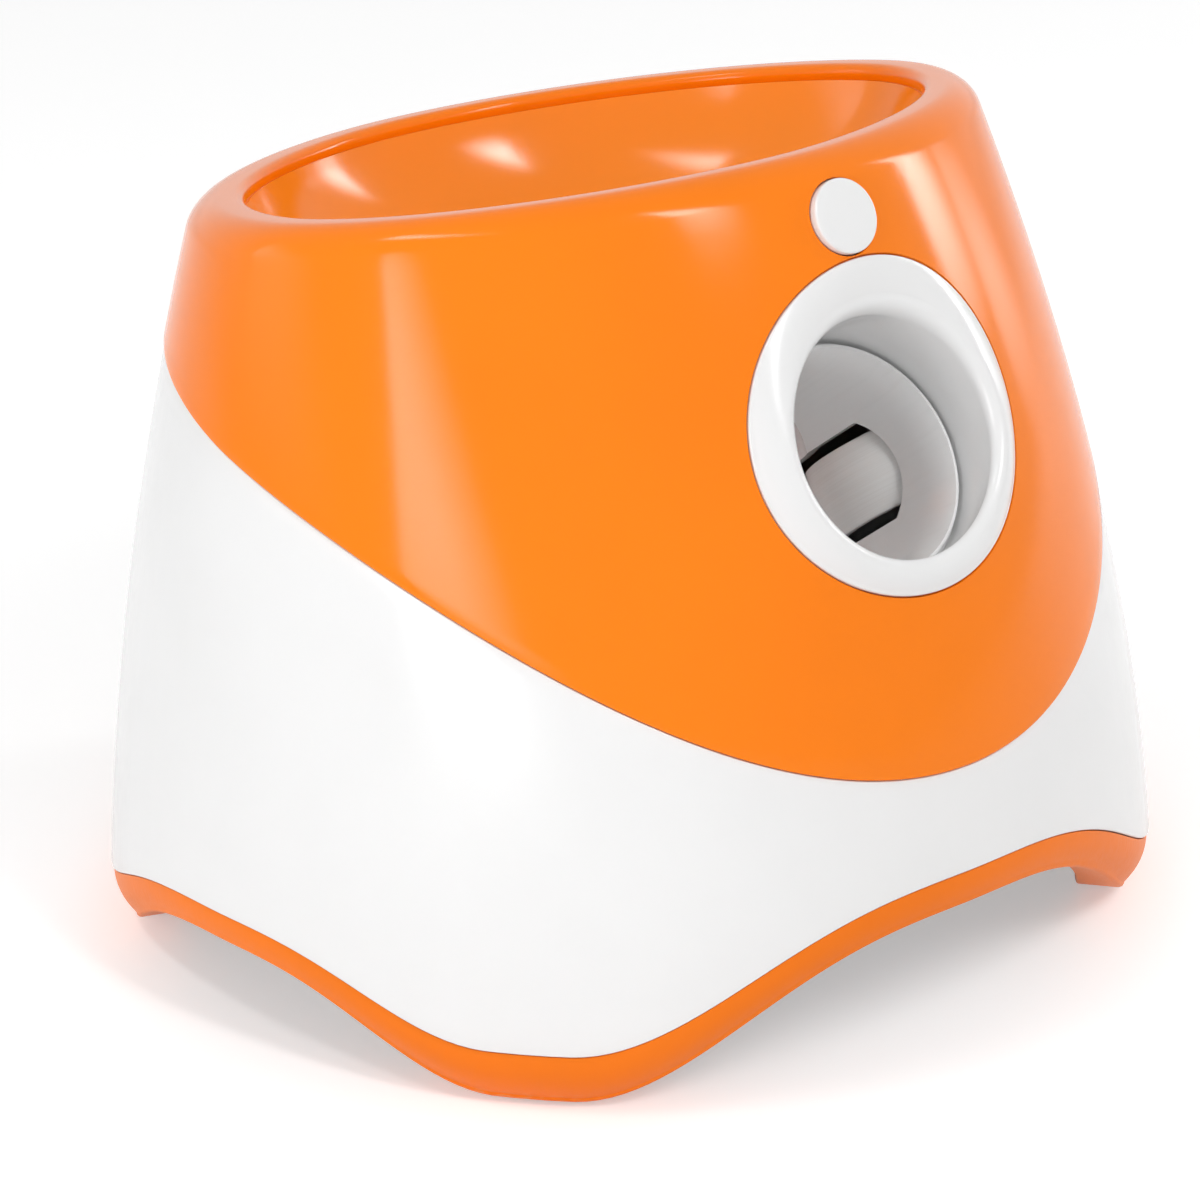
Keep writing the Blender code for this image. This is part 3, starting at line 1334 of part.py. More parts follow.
def make_battery_contacts(steel):
    """Contact strip at each end of the cells."""
    half_length, half_width, _ = tray_size()
    low = COVER_HEIGHT + COVER_THICKNESS + GAP + CONTACT_INSET
    for name, side in (("left", -1), ("right", 1)):
        ends = sorted((side * (half_length - GAP), side * (half_length - GAP - CONTACT_THICKNESS)))
        y = half_width - GAP
        place = Matrix.Translation((0.0, TRAY_CENTRE_Y, 0.0))
        corner = (ends[1], y, low + CONTACT_HEIGHT)
        block("battery_contact_" + name, (ends[0], -y, low), corner, steel, place)


def make_control_board(green, black):
    """Circuit board on its stand-offs with a chip and a plug header, and the sounder on it."""
    low = COVER_HEIGHT + COVER_THICKNESS + STANDOFF_HEIGHT + GAP
    top = low + BOARD_THICKNESS
    place = board_place()
    outline = rounded_outline(board_width(), BOARD_LENGTH, STANDOFF_INSET / 2, 2)
    board = prism("control_board", outline, low, top, green, place)
    half = CHIP_SIDE / 2
    middle = (low + top) / 2
    chip = block(
        "chip",
        (-half, CHIP_OFFSET - half, middle),
        (half, CHIP_OFFSET + half, top + CHIP_HEIGHT),
        green,
        place,
    )
    header = block(
        "header",
        (-HEADER_LENGTH / 2, HEADER_OFFSET - HEADER_WIDTH / 2, middle),
        (HEADER_LENGTH / 2, HEADER_OFFSET + HEADER_WIDTH / 2, top + HEADER_HEIGHT),
        green,
        place,
    )
    combine(board, [chip, header], "UNION")
    spot = place @ Matrix.Translation((0.0, -SOUNDER_OFFSET, 0.0))
    rod("sounder", SOUNDER_RADIUS, top + GAP, top + GAP + SOUNDER_HEIGHT, black, spot)


def jack_place():
    """Frame of the power jack: on the rear of the skin, with z along its outward normal."""
    low = skin_point(math.pi, JACK_HEIGHT - GAP)
    high = skin_point(math.pi, JACK_HEIGHT + GAP)
    lean = math.atan2(low.y - high.y, high.z - low.z)
    centre = skin_point(math.pi, JACK_HEIGHT)
    return Matrix.Translation(centre) @ Matrix.Rotation(-math.pi / 2 + lean, 4, "X")


def make_power_jack(black):
    """Barrel socket in the rear wall: round collar, square body, bore and centre pin."""
    place = jack_place()
    front = JACK_PROUD - SKIRT_STEP
    back = front - JACK_COLLAR_LENGTH
    jack = rod("power_jack", JACK_COLLAR_RADIUS, back, front, black, place)
    half = JACK_BODY_SIDE / 2
    end = back - JACK_BODY_LENGTH + JACK_COLLAR_LENGTH
    combine(jack, [block("body", (-half, -half, end), (half, half, back + GAP), black, place)], "UNION")
    depth = front - JACK_BORE_DEPTH
    bore = rod("bore", JACK_BORE_RADIUS, depth, front + OVERRUN, black, place)
    combine(jack, [bore], "DIFFERENCE")
    pin = rod("pin", JACK_PIN_RADIUS, depth - GAP, front - EDGE_SOFTNESS, black, place)
    return combine(jack, [pin], "UNION")


def button_place():
    """Frame of the button: on the skin, with z along the skin's outward normal."""
    step = GAP
    low = skin_point(0.0, BUTTON_HEIGHT - step)
    high = skin_point(0.0, BUTTON_HEIGHT + step)
    lean = math.atan2(high.y - low.y, high.z - low.z)
    centre = skin_point(0.0, BUTTON_HEIGHT)
    return Matrix.Translation(centre) @ Matrix.Rotation(math.pi / 2 - lean, 4, "X")


def make_button(white):
    """Round push button with a skirt, a retaining flange and a stem."""
    top = BUTTON_PROUD
    under = top - BUTTON_TOP_THICKNESS
    skirt = -BUTTON_SKIRT
    flange = BUTTON_RADIUS + BUTTON_FLANGE_WIDTH
    tact_top = TACT_HEIGHT - BUTTON_BOARD_DEPTH
    stem_end = tact_top + GAP + BUTTON_TRAVEL
    inner = BUTTON_RADIUS - BUTTON_SKIRT_WALL
    profile = [
        (0, stem_end),
        (BUTTON_STEM_RADIUS, stem_end),
        (BUTTON_STEM_RADIUS, under),
        (inner, under),
        (inner, skirt),
        (flange, skirt),
        (flange, skirt + BUTTON_FLANGE_THICKNESS),
        (BUTTON_RADIUS, skirt + BUTTON_FLANGE_THICKNESS),
        (BUTTON_RADIUS, top - BUTTON_ROUNDING),
        (BUTTON_RADIUS - BUTTON_ROUNDING, top),
        (0, top),
    ]
    return turned("button", profile, white, button_place(), WHEEL_STEPS)


def make_button_board(green):
    """Small board behind the button with its tact switch."""
    place = button_place()
    top = -BUTTON_BOARD_DEPTH
    outline = rounded_outline(BUTTON_BOARD_LENGTH, BUTTON_BOARD_WIDTH, BUTTON_POST_RADIUS, 1)
    board = prism("button_board", outline, top - BUTTON_BOARD_THICKNESS, top, green, place)
    half = TACT_SIDE / 2
    tact = block("tact", (-half, -half, top - GAP), (half, half, top + TACT_HEIGHT), green, place)
    return combine(board, [tact], "UNION")


def make_button_spring(steel):
    """Coil spring between the board and the button's underside."""
    low = GAP - BUTTON_BOARD_DEPTH + SPRING_WIRE
    high = BUTTON_PROUD - BUTTON_TOP_THICKNESS - GAP - SPRING_WIRE
    steps = 8
    sides = 3
    upward = Vector((0.0, 0.0, 1.0))
    rings = []
    for step in range(SPRING_TURNS * steps + 1):
        share = step / (SPRING_TURNS * steps)
        turn = 2 * math.pi * SPRING_TURNS * share
        outward = Vector((math.cos(turn), math.sin(turn), 0.0))
        centre = outward * SPRING_RADIUS + upward * (low + (high - low) * share)
        ring = []
        for side in range(sides):
            angle = 2 * math.pi * side / sides
            ring.append(centre + SPRING_WIRE * (outward * math.cos(angle) + upward * math.sin(angle)))
        rings.append(ring)
    return loft("button_spring", rings, steel, button_place(), ends=True)


def main():
    """Build every piece."""
    clear_scene()
    orange = plastic("orange_gloss", (1.0, 0.22, 0.012), 0.18)
    trim = plastic("orange_satin", (0.9, 0.19, 0.012), 0.35)
    white = plastic("white_gloss", (0.82, 0.82, 0.82), 0.22)
    grey = plastic("grey_moulding", (0.35, 0.36, 0.38), 0.5)
    black = plastic("black_moulding", (0.02, 0.02, 0.02), 0.5)
    rubber = plastic("pale_urethane", (0.8, 0.8, 0.78), 0.3)
    foot_rubber = plastic("foot_rubber", (0.03, 0.03, 0.03), 0.7)
    steel = plastic("bright_steel", (0.6, 0.6, 0.6), 0.3, 1.0)
    brass = plastic("brass", (0.7, 0.5, 0.2), 0.35, 1.0)
    green = plastic("circuit_board", (0.02, 0.2, 0.06), 0.4)
    cell_skin = plastic("cell_sleeve", (0.1, 0.12, 0.3), 0.35)
    make_lower_shell(white)
    make_top_housing(orange)
    make_hopper_bowl(orange)
    make_base_trim(trim)
    make_exit_bezel(white)
    make_launch_barrel(white)
    for label, side in (("left", -1), ("right", 1)):
        make_wheel("wheel_" + label, side, rubber)
        make_wheel_shaft("wheel_shaft_" + label, side, steel)
        make_drive_motor("drive_motor_" + label, side, steel)
    make_chassis(grey)
    make_feed_chute(grey)
    make_release_gate(grey)
    make_gate_pinion(brass)
    make_gate_pin(steel)
    make_gate_motor(steel)
    make_sensor_lever(black)
    make_sensor_pin(steel)
    make_sensor_switch(black)
    make_foot_pads(foot_rubber)
    make_bottom_cover(grey)
    make_cover_screws(steel)
    make_battery_tray(black)
    make_battery_door(grey)
    make_cells(cell_skin)
    make_battery_contacts(steel)
    make_control_board(green, black)
    make_power_jack(black)
    make_button(white)
    make_button_board(green)
    make_button_spring(steel)


if __name__ == "__main__":
    main()
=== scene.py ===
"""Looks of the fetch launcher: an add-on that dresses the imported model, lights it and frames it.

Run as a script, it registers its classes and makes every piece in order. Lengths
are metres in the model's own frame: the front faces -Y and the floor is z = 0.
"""

import math

import bmesh
import bpy
from mathutils import Matrix, Vector


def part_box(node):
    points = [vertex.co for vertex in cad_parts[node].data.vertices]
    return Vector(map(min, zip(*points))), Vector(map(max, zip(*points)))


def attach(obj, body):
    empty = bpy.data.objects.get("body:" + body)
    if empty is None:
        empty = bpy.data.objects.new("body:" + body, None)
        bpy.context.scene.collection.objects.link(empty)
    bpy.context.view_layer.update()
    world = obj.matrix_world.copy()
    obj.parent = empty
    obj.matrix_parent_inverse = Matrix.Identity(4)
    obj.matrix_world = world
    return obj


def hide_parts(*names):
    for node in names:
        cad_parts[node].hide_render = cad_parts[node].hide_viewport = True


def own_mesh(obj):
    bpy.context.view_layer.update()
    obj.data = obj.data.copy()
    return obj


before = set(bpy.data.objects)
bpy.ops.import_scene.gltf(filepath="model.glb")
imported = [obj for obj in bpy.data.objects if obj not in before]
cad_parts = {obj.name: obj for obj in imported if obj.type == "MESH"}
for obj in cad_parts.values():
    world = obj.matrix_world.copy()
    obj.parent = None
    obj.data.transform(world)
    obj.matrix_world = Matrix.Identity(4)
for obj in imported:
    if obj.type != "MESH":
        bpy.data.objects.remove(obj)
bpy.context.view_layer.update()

bl_info = {
    "name": "Fetch Launcher",
    "version": (1, 0, 0),
    "blender": (4, 5, 0),
    "location": "View3D > Sidebar > Launcher",
    "description": "Dresses the launcher's pieces, and sets up its floor, lamps and camera",
    "category": "Object",
}

UPWARD = Vector((0.0, 0.0, 1.0))

# Skin of the body
TAPER_HEIGHT = 0.200
FLOOR_HALF_WIDTH = 0.1332
WIDTH_LEAN = 0.0056
WIDTH_CROWN = 0.0283
FLOOR_FRONT_REACH = 0.13725
FRONT_LEAN = 0.0028
FRONT_CROWN = 0.0520
FLOOR_REAR_REACH = 0.11352
REAR_LEAN = 0.0017
REAR_CROWN = 0.0182
BODY_SETBACK = 0.01055
FLOOR_POWER = 2.08
TOP_POWER = 1.79

# Walls and joints
WALL = 0.0028
GAP = 0.0003
EDGE = 0.0006
LAP_HEIGHT = 0.0030
LAP_WALL = 0.0013
SKIRT_STEP = 0.0006
OVERRUN = 0.0060

# Rolled rim
RIM_HEIGHT = 0.1926
RIM_TILT = math.radians(10.54)
RIM_WIDTH = 0.0137
RIM_OUTER_RADIUS = 0.0065
RIM_INNER_RADIUS = 0.0036
RIM_LIP_DEPTH = 0.0040
RIM_WALL = 0.0026

# Parting line between the orange and the white shell
SPLIT_HEIGHT = 0.1415
SPLIT_TILT = math.radians(15.27)
SPLIT_RUN = 0.100
SPLIT_BOW = 0.02053

# Base trim, arches and feet
FRONT_FOOT = math.radians(48)
REAR_FOOT = math.radians(122)
FOOT_FLAT = math.radians(4)
SHOULDER = 1.4
FOOT_TOP = 0.0158
FOOT_TAPER = 0.0085
ARCH_TOPS = (0.0468, 0.0325, 0.0365)
ARCH_UNDERSIDES = (0.0377, 0.0245, 0.0280)
TRIM_THICKNESS = 0.0062
FOOT_THICKNESS = 0.0125
TRIM_TONGUE = 0.0050
TRIM_TONGUE_WALL = 0.0022
TRIM_EDGE_RADIUS = 0.0015
PAD_THICKNESS = 0.0016
PAD_RADIUS = 0.0038
PAD_SEAT = 0.0008

# Launch barrel and its feed port
LAUNCH_ANGLE = math.radians(37)
MOUTH_SINK = 0.00205
MOUTH_Z = 0.1470
BORE_RADIUS = 0.0269
BARREL_WALL = 0.0021
BARREL_RADIUS = BORE_RADIUS + BARREL_WALL
LIP_DEPTH = 0.0189
LIP_ROUNDING = 0.0004
FLARE_WIDTH = 0.0012
FLARE_DEPTH = 0.0120
BREECH_DEPTH = 0.1035
BREECH_FILLET = 0.0030
PORT_DEPTH = 0.0764
PORT_RADIUS = 0.0272
PORT_WALL = 0.0030
PORT_HEIGHT = 0.0323
PORT_FLANGE_WIDTH = 0.0045
PORT_FLANGE_THICKNESS = 0.0024

# Exit bezel
FACE_ANGLE = math.radians(25.4)
FACE_HEIGHT = 0.1494
BEZEL_RADIUS = 0.0390
BEZEL_PROUD = 0.00025
BEZEL_FLANGE = 0.0012
BEZEL_NECK_RADIUS = 0.0350
BEZEL_DOME = 0.0006
MOUTH_RADIUS = 0.0286
MOUTH_CREST_RADIUS = 0.0316
MOUTH_ROUNDING = 0.0032
MOUTH_BELLY_RADIUS = 0.0304
MOUTH_BELLY_DEPTH = 0.0150
SOCKET_DEPTH = 0.0220
SOCKET_LENGTH = 0.0070
BEZEL_TUBE_WALL = 0.0022

# Launch wheels
WHEEL_RADIUS = 0.0300
WHEEL_WIDTH = 0.0190
WHEEL_CROWN = 0.0010
WHEEL_RIM = 0.0040
WHEEL_WEB = 0.0030
WHEEL_HUB_RADIUS = 0.0060
WHEEL_NIP = 0.0440
WHEEL_DEPTH = 0.0564
WHEEL_CLEARANCE = 0.0015
SLOT_MARGIN = 0.0030
SHAFT_RADIUS = 0.0016

# Hopper bowl
CHUTE_TOP = 0.0520
SPIGOT_RADIUS = 0.0272
SPIGOT_LENGTH = 0.0050
BOWL_WALL = 0.0024
KNEE_DROP = 0.75
KNEE_IN = 0.15
BOWL_SEAT = 0.0002

# Button
BUTTON_HEIGHT = 0.1938
BUTTON_RADIUS = 0.0088
BUTTON_PROUD = 0.0012
BUTTON_SKIRT = 0.0046
BUTTON_SKIRT_WALL = 0.0014
BUTTON_ROUNDING = 0.0006
BUTTON_STEM_RADIUS = 0.0018
BUTTON_FLANGE_WIDTH = 0.0008
BUTTON_FLANGE_THICKNESS = 0.0010
BUTTON_TOP_THICKNESS = 0.0016
BUTTON_TRAVEL = 0.0015
BUTTON_BOARD_DEPTH = 0.0091
BUTTON_POST_X = 0.0118
BUTTON_POST_RADIUS = 0.0018
BUTTON_POST_START = 0.0022
TACT_HEIGHT = 0.0030
SPRING_RADIUS = 0.0040
SPRING_WIRE = 0.00035
SPRING_TURNS = 4
SPRING_FOOT = GAP - BUTTON_BOARD_DEPTH
SPRING_HEAD = BUTTON_PROUD - BUTTON_TOP_THICKNESS - GAP

# Power jack
JACK_HEIGHT = 0.0620
JACK_PROUD = 0.0004
JACK_COLLAR_LENGTH = 0.0060
JACK_BODY_SIDE = 0.0090
JACK_BODY_LENGTH = 0.0120
JACK_COLLAR_RADIUS = 0.0055
JACK_BORE_RADIUS = 0.0032
JACK_BORE_DEPTH = 0.0095
JACK_PIN_RADIUS = 0.0010

# Cover screws
SCREW_HEAD_RADIUS = 0.0030
SCREW_HEAD_HEIGHT = 0.0018
SCREW_RADIUS = 0.0015
SCREW_ROOT_RADIUS = 0.0012
SCREW_PITCH = 0.0007
SCREW_RECESS_LENGTH = 0.0034
SCREW_RECESS_WIDTH = 0.0008
SCREW_RECESS_DEPTH = 0.0010

# Levels between the colours of the boards and of the cells
BOARD_FACE = 0.0515
BOARD_PARTS_TOP = 0.0600
CELL_BAND = 0.0400

# Grains in moulded plastic: drift of the colour, flow of the surface, hairlines
DRIFT_SIZE = 0.050
FLOW_SIZE = 0.014
HAIRLINE_SIZES = (0.0006, 0.0006, 0.012)
# Lean of the bore from upright, which the marks on the barrel and the wheels follow
BORE_LEAN = math.pi / 2 - LAUNCH_ANGLE

# Lamps: bearing and height in degrees, distance, width, height, and brightness at the middle
LAMPS = {
    "left_strip": (-63, 15, 1.35, 0.86, 1.00, 9.6),
    "left_fill": (-115, 22, 1.50, 1.50, 1.20, 2.0),
    "crest_strip": (-80, 62, 1.60, 1.00, 0.36, 15.0),
    "front_strip": (4, 48, 1.60, 0.46, 0.96, 26.0),
    "right_strip": (77, 22, 1.40, 0.36, 0.92, 16.0),
    "right_panel": (91, 7, 1.40, 0.42, 0.60, 2.8),
}
LAMP_AIM = Vector((0.0, 0.0, 0.10))
# Where a lamp starts to fade, as a share of its side from the middle
LAMP_CORE = 0.15
# How far the floor glows towards white where it shows as the background
FLOOR_LIFT = 0.37
FLOOR_REACH = 4.0

# Steps round and along the visible mouldings
BODY_STEPS = 288
BOWL_STEPS = 192
RING_STEPS = 128
TUBE_STEPS = 96
SMALL_STEPS = 48
PIN_STEPS = 24
COIL_STEPS = 24
WIRE_SIDES = 10
SIDE_ROWS = 24
INNER_ROWS = 8
TRIM_ROWS = 8
TRIM_INNER_ROWS = 4
FACE_ROWS = 12
MOUTH_ROWS = 12
FLARE_ROWS = 8
TREAD_ROWS = 8
BOWL_ROWS = 28
SHARP_ANGLE = math.radians(32)
# Start of a ring, as a share of a step, so that no two pieces' corners meet in a cut
LEAD = 0.37
# Points of a spun profile that lie closer than this become one
WELD = GAP / 30
# Rounds in which a height on the skin and a point on it settle
LEVEL_ROUNDS = 16
SKIN_ROUNDS = 40


class LauncherColours(bpy.types.PropertyGroup):
    """Colours of the launcher's mouldings."""

    housing: bpy.props.FloatVectorProperty(
        name="Housing",
        description="Gloss orange of the upper shell and the bowl",
        subtype="COLOR",
        size=3,
        min=0.0,
        max=1.0,
        default=(0.96, 0.215, 0.002),
    )
    trim: bpy.props.FloatVectorProperty(
        name="Base trim",
        description="Satin orange of the band with the feet",
        subtype="COLOR",
        size=3,
        min=0.0,
        max=1.0,
        default=(0.90, 0.19, 0.004),
    )
    shell: bpy.props.FloatVectorProperty(
        name="Skirt and button",
        description="White of the lower shell, the bezel and the button",
        subtype="COLOR",
        size=3,
        min=0.0,
        max=1.0,
        default=(0.82, 0.82, 0.82),
    )


class LauncherStage(bpy.types.PropertyGroup):
    """Camera and lamps."""

    place: bpy.props.FloatVectorProperty(
        name="Camera place",
        description="Where the camera stands",
        subtype="XYZ",
        unit="LENGTH",
        size=3,
        default=(-0.6826, -0.82245, 0.5295),
    )
    turn: bpy.props.FloatProperty(
        name="Camera turn",
        description="Turn of the camera round the launcher, from straight in front of it",
        subtype="ANGLE",
        default=math.radians(-39.199),
    )
    rise: bpy.props.FloatProperty(
        name="Camera rise",
        description="How far the camera looks down",
        subtype="ANGLE",
        default=math.radians(23.006),
    )
    roll: bpy.props.FloatProperty(
        name="Camera roll",
        description="Roll of the camera about its own line of sight",
        subtype="ANGLE",
        default=math.radians(-0.983),
    )
    lens: bpy.props.FloatProperty(
        name="Lens",
        description="Focal length in millimetres on a sensor 36 mm wide",
        default=140.58,
    )
    light: bpy.props.FloatProperty(
        name="Lamps",
        description="Level of all the lamps together",
        min=0.0,
        default=1.0,
    )
    ambient: bpy.props.FloatProperty(
        name="Room light",
        description="Level of the even light from all round",
        min=0.0,
        default=0.44,
    )


def skin_point(bearing, height, inset=0.0):
    """Point of the body's skin, or inset from it. Bearing 0 is the front, a quarter turn is +X."""
    rise = height / TAPER_HEIGHT
    side = FLOOR_HALF_WIDTH - WIDTH_LEAN * rise - WIDTH_CROWN * rise**2 - inset
    front = FLOOR_FRONT_REACH - FRONT_LEAN * rise - FRONT_CROWN * rise**2 - inset
    rear = FLOOR_REAR_REACH - REAR_LEAN * rise - REAR_CROWN * rise**2 - inset
    power = FLOOR_POWER + (TOP_POWER - FLOOR_POWER) * rise
    across, along = math.sin(bearing), -math.cos(bearing)
    reach = front if along < 0 else rear
    radius = (abs(across / side) ** power + abs(along / reach) ** power) ** (-1 / power)
    return Vector((radius * across, radius * along + BODY_SETBACK, height))


def height_on(bearing, inset, level):
    """Height at which the skin, inset, meets a level that depends on y."""
    height = level(0.0)
    for _ in range(LEVEL_ROUNDS):
        height = level(skin_point(bearing, height, inset).y)
    return height


def rim_level(y):
    """Tilted plane of the rim's crest."""
    return RIM_HEIGHT - math.tan(RIM_TILT) * (y - BODY_SETBACK)


def split_level(y):
    """Curved parting line, seen from the side."""
    run = y - BODY_SETBACK
    return SPLIT_HEIGHT + math.tan(SPLIT_TILT) * run - SPLIT_BOW * (run / SPLIT_RUN) ** 2


def arch_level(bearing, tops, foot):
    """Height of a wavy base edge: high in the arches, low at the four feet."""
    turn = abs((bearing + math.pi) % (2 * math.pi) - math.pi)
    if turn < FRONT_FOOT:
        centre, half, top = 0.0, FRONT_FOOT, tops[0]
    elif turn < REAR_FOOT:
        centre = (FRONT_FOOT + REAR_FOOT) / 2
        half, top = REAR_FOOT - centre, tops[1]
    else:
        centre, half, top = math.pi, math.pi - REAR_FOOT, tops[2]
    away = min(1.0, abs(turn - centre) / (half - FOOT_FLAT))
    fall = math.sin(math.pi / 2 * away**SHOULDER) ** 2
    return foot + (top - foot) * (1 - fall)


def trim_top(bearing):
    """Upper edge of the base trim."""
    return arch_level(bearing, ARCH_TOPS, FOOT_TOP)


def trim_underside(bearing):
    """Lower edge of the base trim."""
    return arch_level(bearing, ARCH_UNDERSIDES, PAD_THICKNESS - PAD_SEAT + GAP)


def trim_inset(drop):
    """How far the trim draws in below its upper edge."""
    return SKIRT_STEP + EDGE + FOOT_TAPER * (drop / FOOT_TOP) ** 2


def turns(count, lead=0.0):
    """Equal steps of a full turn, the first one a share of a step on."""
    return [2 * math.pi * (step + lead) / count for step in range(count)]


def arc(centre_x, centre_y, radius_x, radius_y, start, stop, count):
    """Points of an arc, from start to stop in quarter turns, both ends included."""
    points = []
    for step in range(count + 1):
        turn = math.pi / 2 * (start + (stop - start) * step / count)
        points.append((centre_x + radius_x * math.cos(turn), centre_y + radius_y * math.sin(turn)))
    return points


def leaned(point, angle):
    """Frame at a point, whose z looks forward and rises by an angle."""
    return Matrix.Translation(point) @ Matrix.Rotation(math.pi / 2 - angle, 4, "X")


def launch_place():
    """Frame of the barrel, with z out along the bore."""
    return leaned(skin_point(0.0, MOUTH_Z, MOUTH_SINK), LAUNCH_ANGLE)


def across_place(x, depth):
    """Frame beside or on the barrel, with z across it and up."""
    place = launch_place() @ Matrix.Translation((x, 0.0, -depth))
    return place @ Matrix.Rotation(-math.pi / 2, 4, "X")


def face_place():
    """Frame of the bezel: on the skin, with z out along the ring's own axis."""
    return leaned(skin_point(0.0, FACE_HEIGHT), FACE_ANGLE)


def skin_place(bearing, height):
    """Frame on the front or the back of the skin, with z along its outward normal."""
    low = skin_point(bearing, height - GAP)
    high = skin_point(bearing, height + GAP)
    lean = math.atan2(high.y - low.y, high.z - low.z)
    out = math.pi / 2 if bearing == 0.0 else -math.pi / 2
    return Matrix.Translation(skin_point(bearing, height)) @ Matrix.Rotation(out - lean, 4, "X")


def on_skin(place, x, y, inset):
    """Point of the inset skin that lies on a frame's z line through x, y."""
    height = 0.0
    outward = place.to_3x3() @ UPWARD
    for _ in range(SKIN_ROUNDS):
        point = place @ Vector((x, y, height))
        flat = Vector((point.x, point.y - BODY_SETBACK))
        skin = skin_point(math.atan2(flat.x, -flat.y), point.z, inset)
        reach = Vector((skin.x, skin.y - BODY_SETBACK)).length
        height += (reach - flat.length) * abs(outward.y)
    return place @ Vector((x, y, height))


def circle(radius, steps):
    """Points of a circle."""
    return [(radius * math.cos(turn), radius * math.sin(turn)) for turn in turns(steps, LEAD)]


def skin_ring(place, radius, inset, steps=RING_STEPS):
    """Ring of a given radius round a frame's axis that follows the skin."""
    return [on_skin(place, x, y, inset) for x, y in circle(radius, steps)]


def flat_ring(place, radius, height, steps=RING_STEPS):
    """Flat ring round a frame's axis."""
    return [place @ Vector((x, y, height)) for x, y in circle(radius, steps)]


def softened_hole(place, radius, steps=RING_STEPS):
    """Rings of a hole in the skin, from above it down to the end of its softened edge."""
    return [
        flat_ring(place, radius + EDGE, OVERRUN, steps),
        skin_ring(place, radius + EDGE / 2, -GAP / 2, steps),
        skin_ring(place, radius + EDGE / 4, GAP / 3, steps),
        skin_ring(place, radius, EDGE, steps),
    ]


def mouth_ring(radius, depth, steps=RING_STEPS):
    """Ring of the mouth tube, whose plane turns from the bezel's face to the barrel's section."""
    share = min(1.0, max(0.0, depth / MOUTH_BELLY_DEPTH))
    angle = FACE_ANGLE + (LAUNCH_ANGLE - FACE_ANGLE) * share
    return flat_ring(leaned(launch_place() @ (UPWARD * -depth), angle), radius, 0.0, steps)


def keep_mesh(name, shape):
    """Turn a bmesh into a linked object, closed and with its faces pointing out."""
    bmesh.ops.recalc_face_normals(shape, faces=shape.faces)
    mesh = bpy.data.meshes.new(name)
    shape.to_mesh(mesh)
    shape.free()
    thing = bpy.data.objects.new(name, mesh)
    bpy.context.scene.collection.objects.link(thing)
    return smooth(thing)


def smooth(thing):
    """Shade round, with sharp edges where the form has them."""
    thing.data.shade_smooth()
    thing.data.set_sharp_from_angle(angle=SHARP_ANGLE)
    return thing


def loft(name, rings, ends=False):
    """Skin through rings of equal length. It joins on itself, or has flat ends if ends is true."""
    shape = bmesh.new()
    rows = [[shape.verts.new(point) for point in ring] for ring in rings]
    following = rows[1:] if ends else rows[1:] + rows[:1]
    for row, after in zip(rows, following):
        for step in range(len(row)):
            shape.faces.new((row[step - 1], row[step], after[step], after[step - 1]))
    if ends:
        shape.faces.new(rows[0])
        shape.faces.new(rows[-1])
    return keep_mesh(name, shape)


def lathe(name, profile, place, steps, ring=False):
    """Profile spun about a frame's z. It starts and ends on the axis, or is a closed ring."""
    shape = bmesh.new()
    points = [shape.verts.new((radius, 0.0, height)) for radius, height in profile]
    ends = points[1:] + points[:1] if ring else points[1:]
    edges = [shape.edges.new(pair) for pair in zip(points, ends)]
    spin = {"cent": (0.0, 0.0, 0.0), "axis": UPWARD, "angle": 2 * math.pi, "steps": steps}
    bmesh.ops.spin(shape, geom=points + edges, **spin)
    bmesh.ops.remove_doubles(shape, verts=shape.verts, dist=WELD)
    bmesh.ops.transform(shape, matrix=place, verts=shape.verts)
    return keep_mesh(name, shape)


def rod(radius, low, high, place, steps=SMALL_STEPS):
    """Plain round cutter or post along a frame's z."""
    shape = bmesh.new()
    turned = Matrix.Rotation(turns(steps, LEAD)[0], 4, "Z")
    middle = place @ Matrix.Translation((0.0, 0.0, (low + high) / 2)) @ turned
    sizes = {"radius1": radius, "radius2": radius, "depth": high - low}
    bmesh.ops.create_cone(shape, cap_ends=True, segments=steps, matrix=middle, **sizes)
    return keep_mesh("rod", shape)


def block(low, high, place):
    """Box between two corners of a frame."""
    shape = bmesh.new()
    middle = Matrix.Translation((Vector(low) + Vector(high)) / 2)
    scale = Matrix.Diagonal((*(Vector(high) - Vector(low)), 1.0))
    bmesh.ops.create_cube(shape, size=1.0, matrix=place @ middle @ scale)
    return keep_mesh("block", shape)


def combine(thing, tools, operation):
    """Join or cut a piece with tool shapes, which are then removed."""
    for tool in tools:
        change = thing.modifiers.new("combine", "BOOLEAN")
        change.operation = operation
        change.solver = "EXACT"
        change.object = tool
        graph = bpy.context.evaluated_depsgraph_get()
        mesh = bpy.data.meshes.new_from_object(thing.evaluated_get(graph))
        thing.modifiers.clear()
        old = thing.data
        thing.data = mesh
        bpy.data.meshes.remove(old)
        bpy.data.objects.remove(tool, do_unlink=True)
    thing.data.name = thing.name
    return smooth(thing)


def stand_in(thing, node, body, name):
    """Finish a new piece, which takes a node's place and moves with its body."""
    thing.data.materials.clear()
    thing.data.materials.append(finish(name))
    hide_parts(node)
    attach(thing, body)


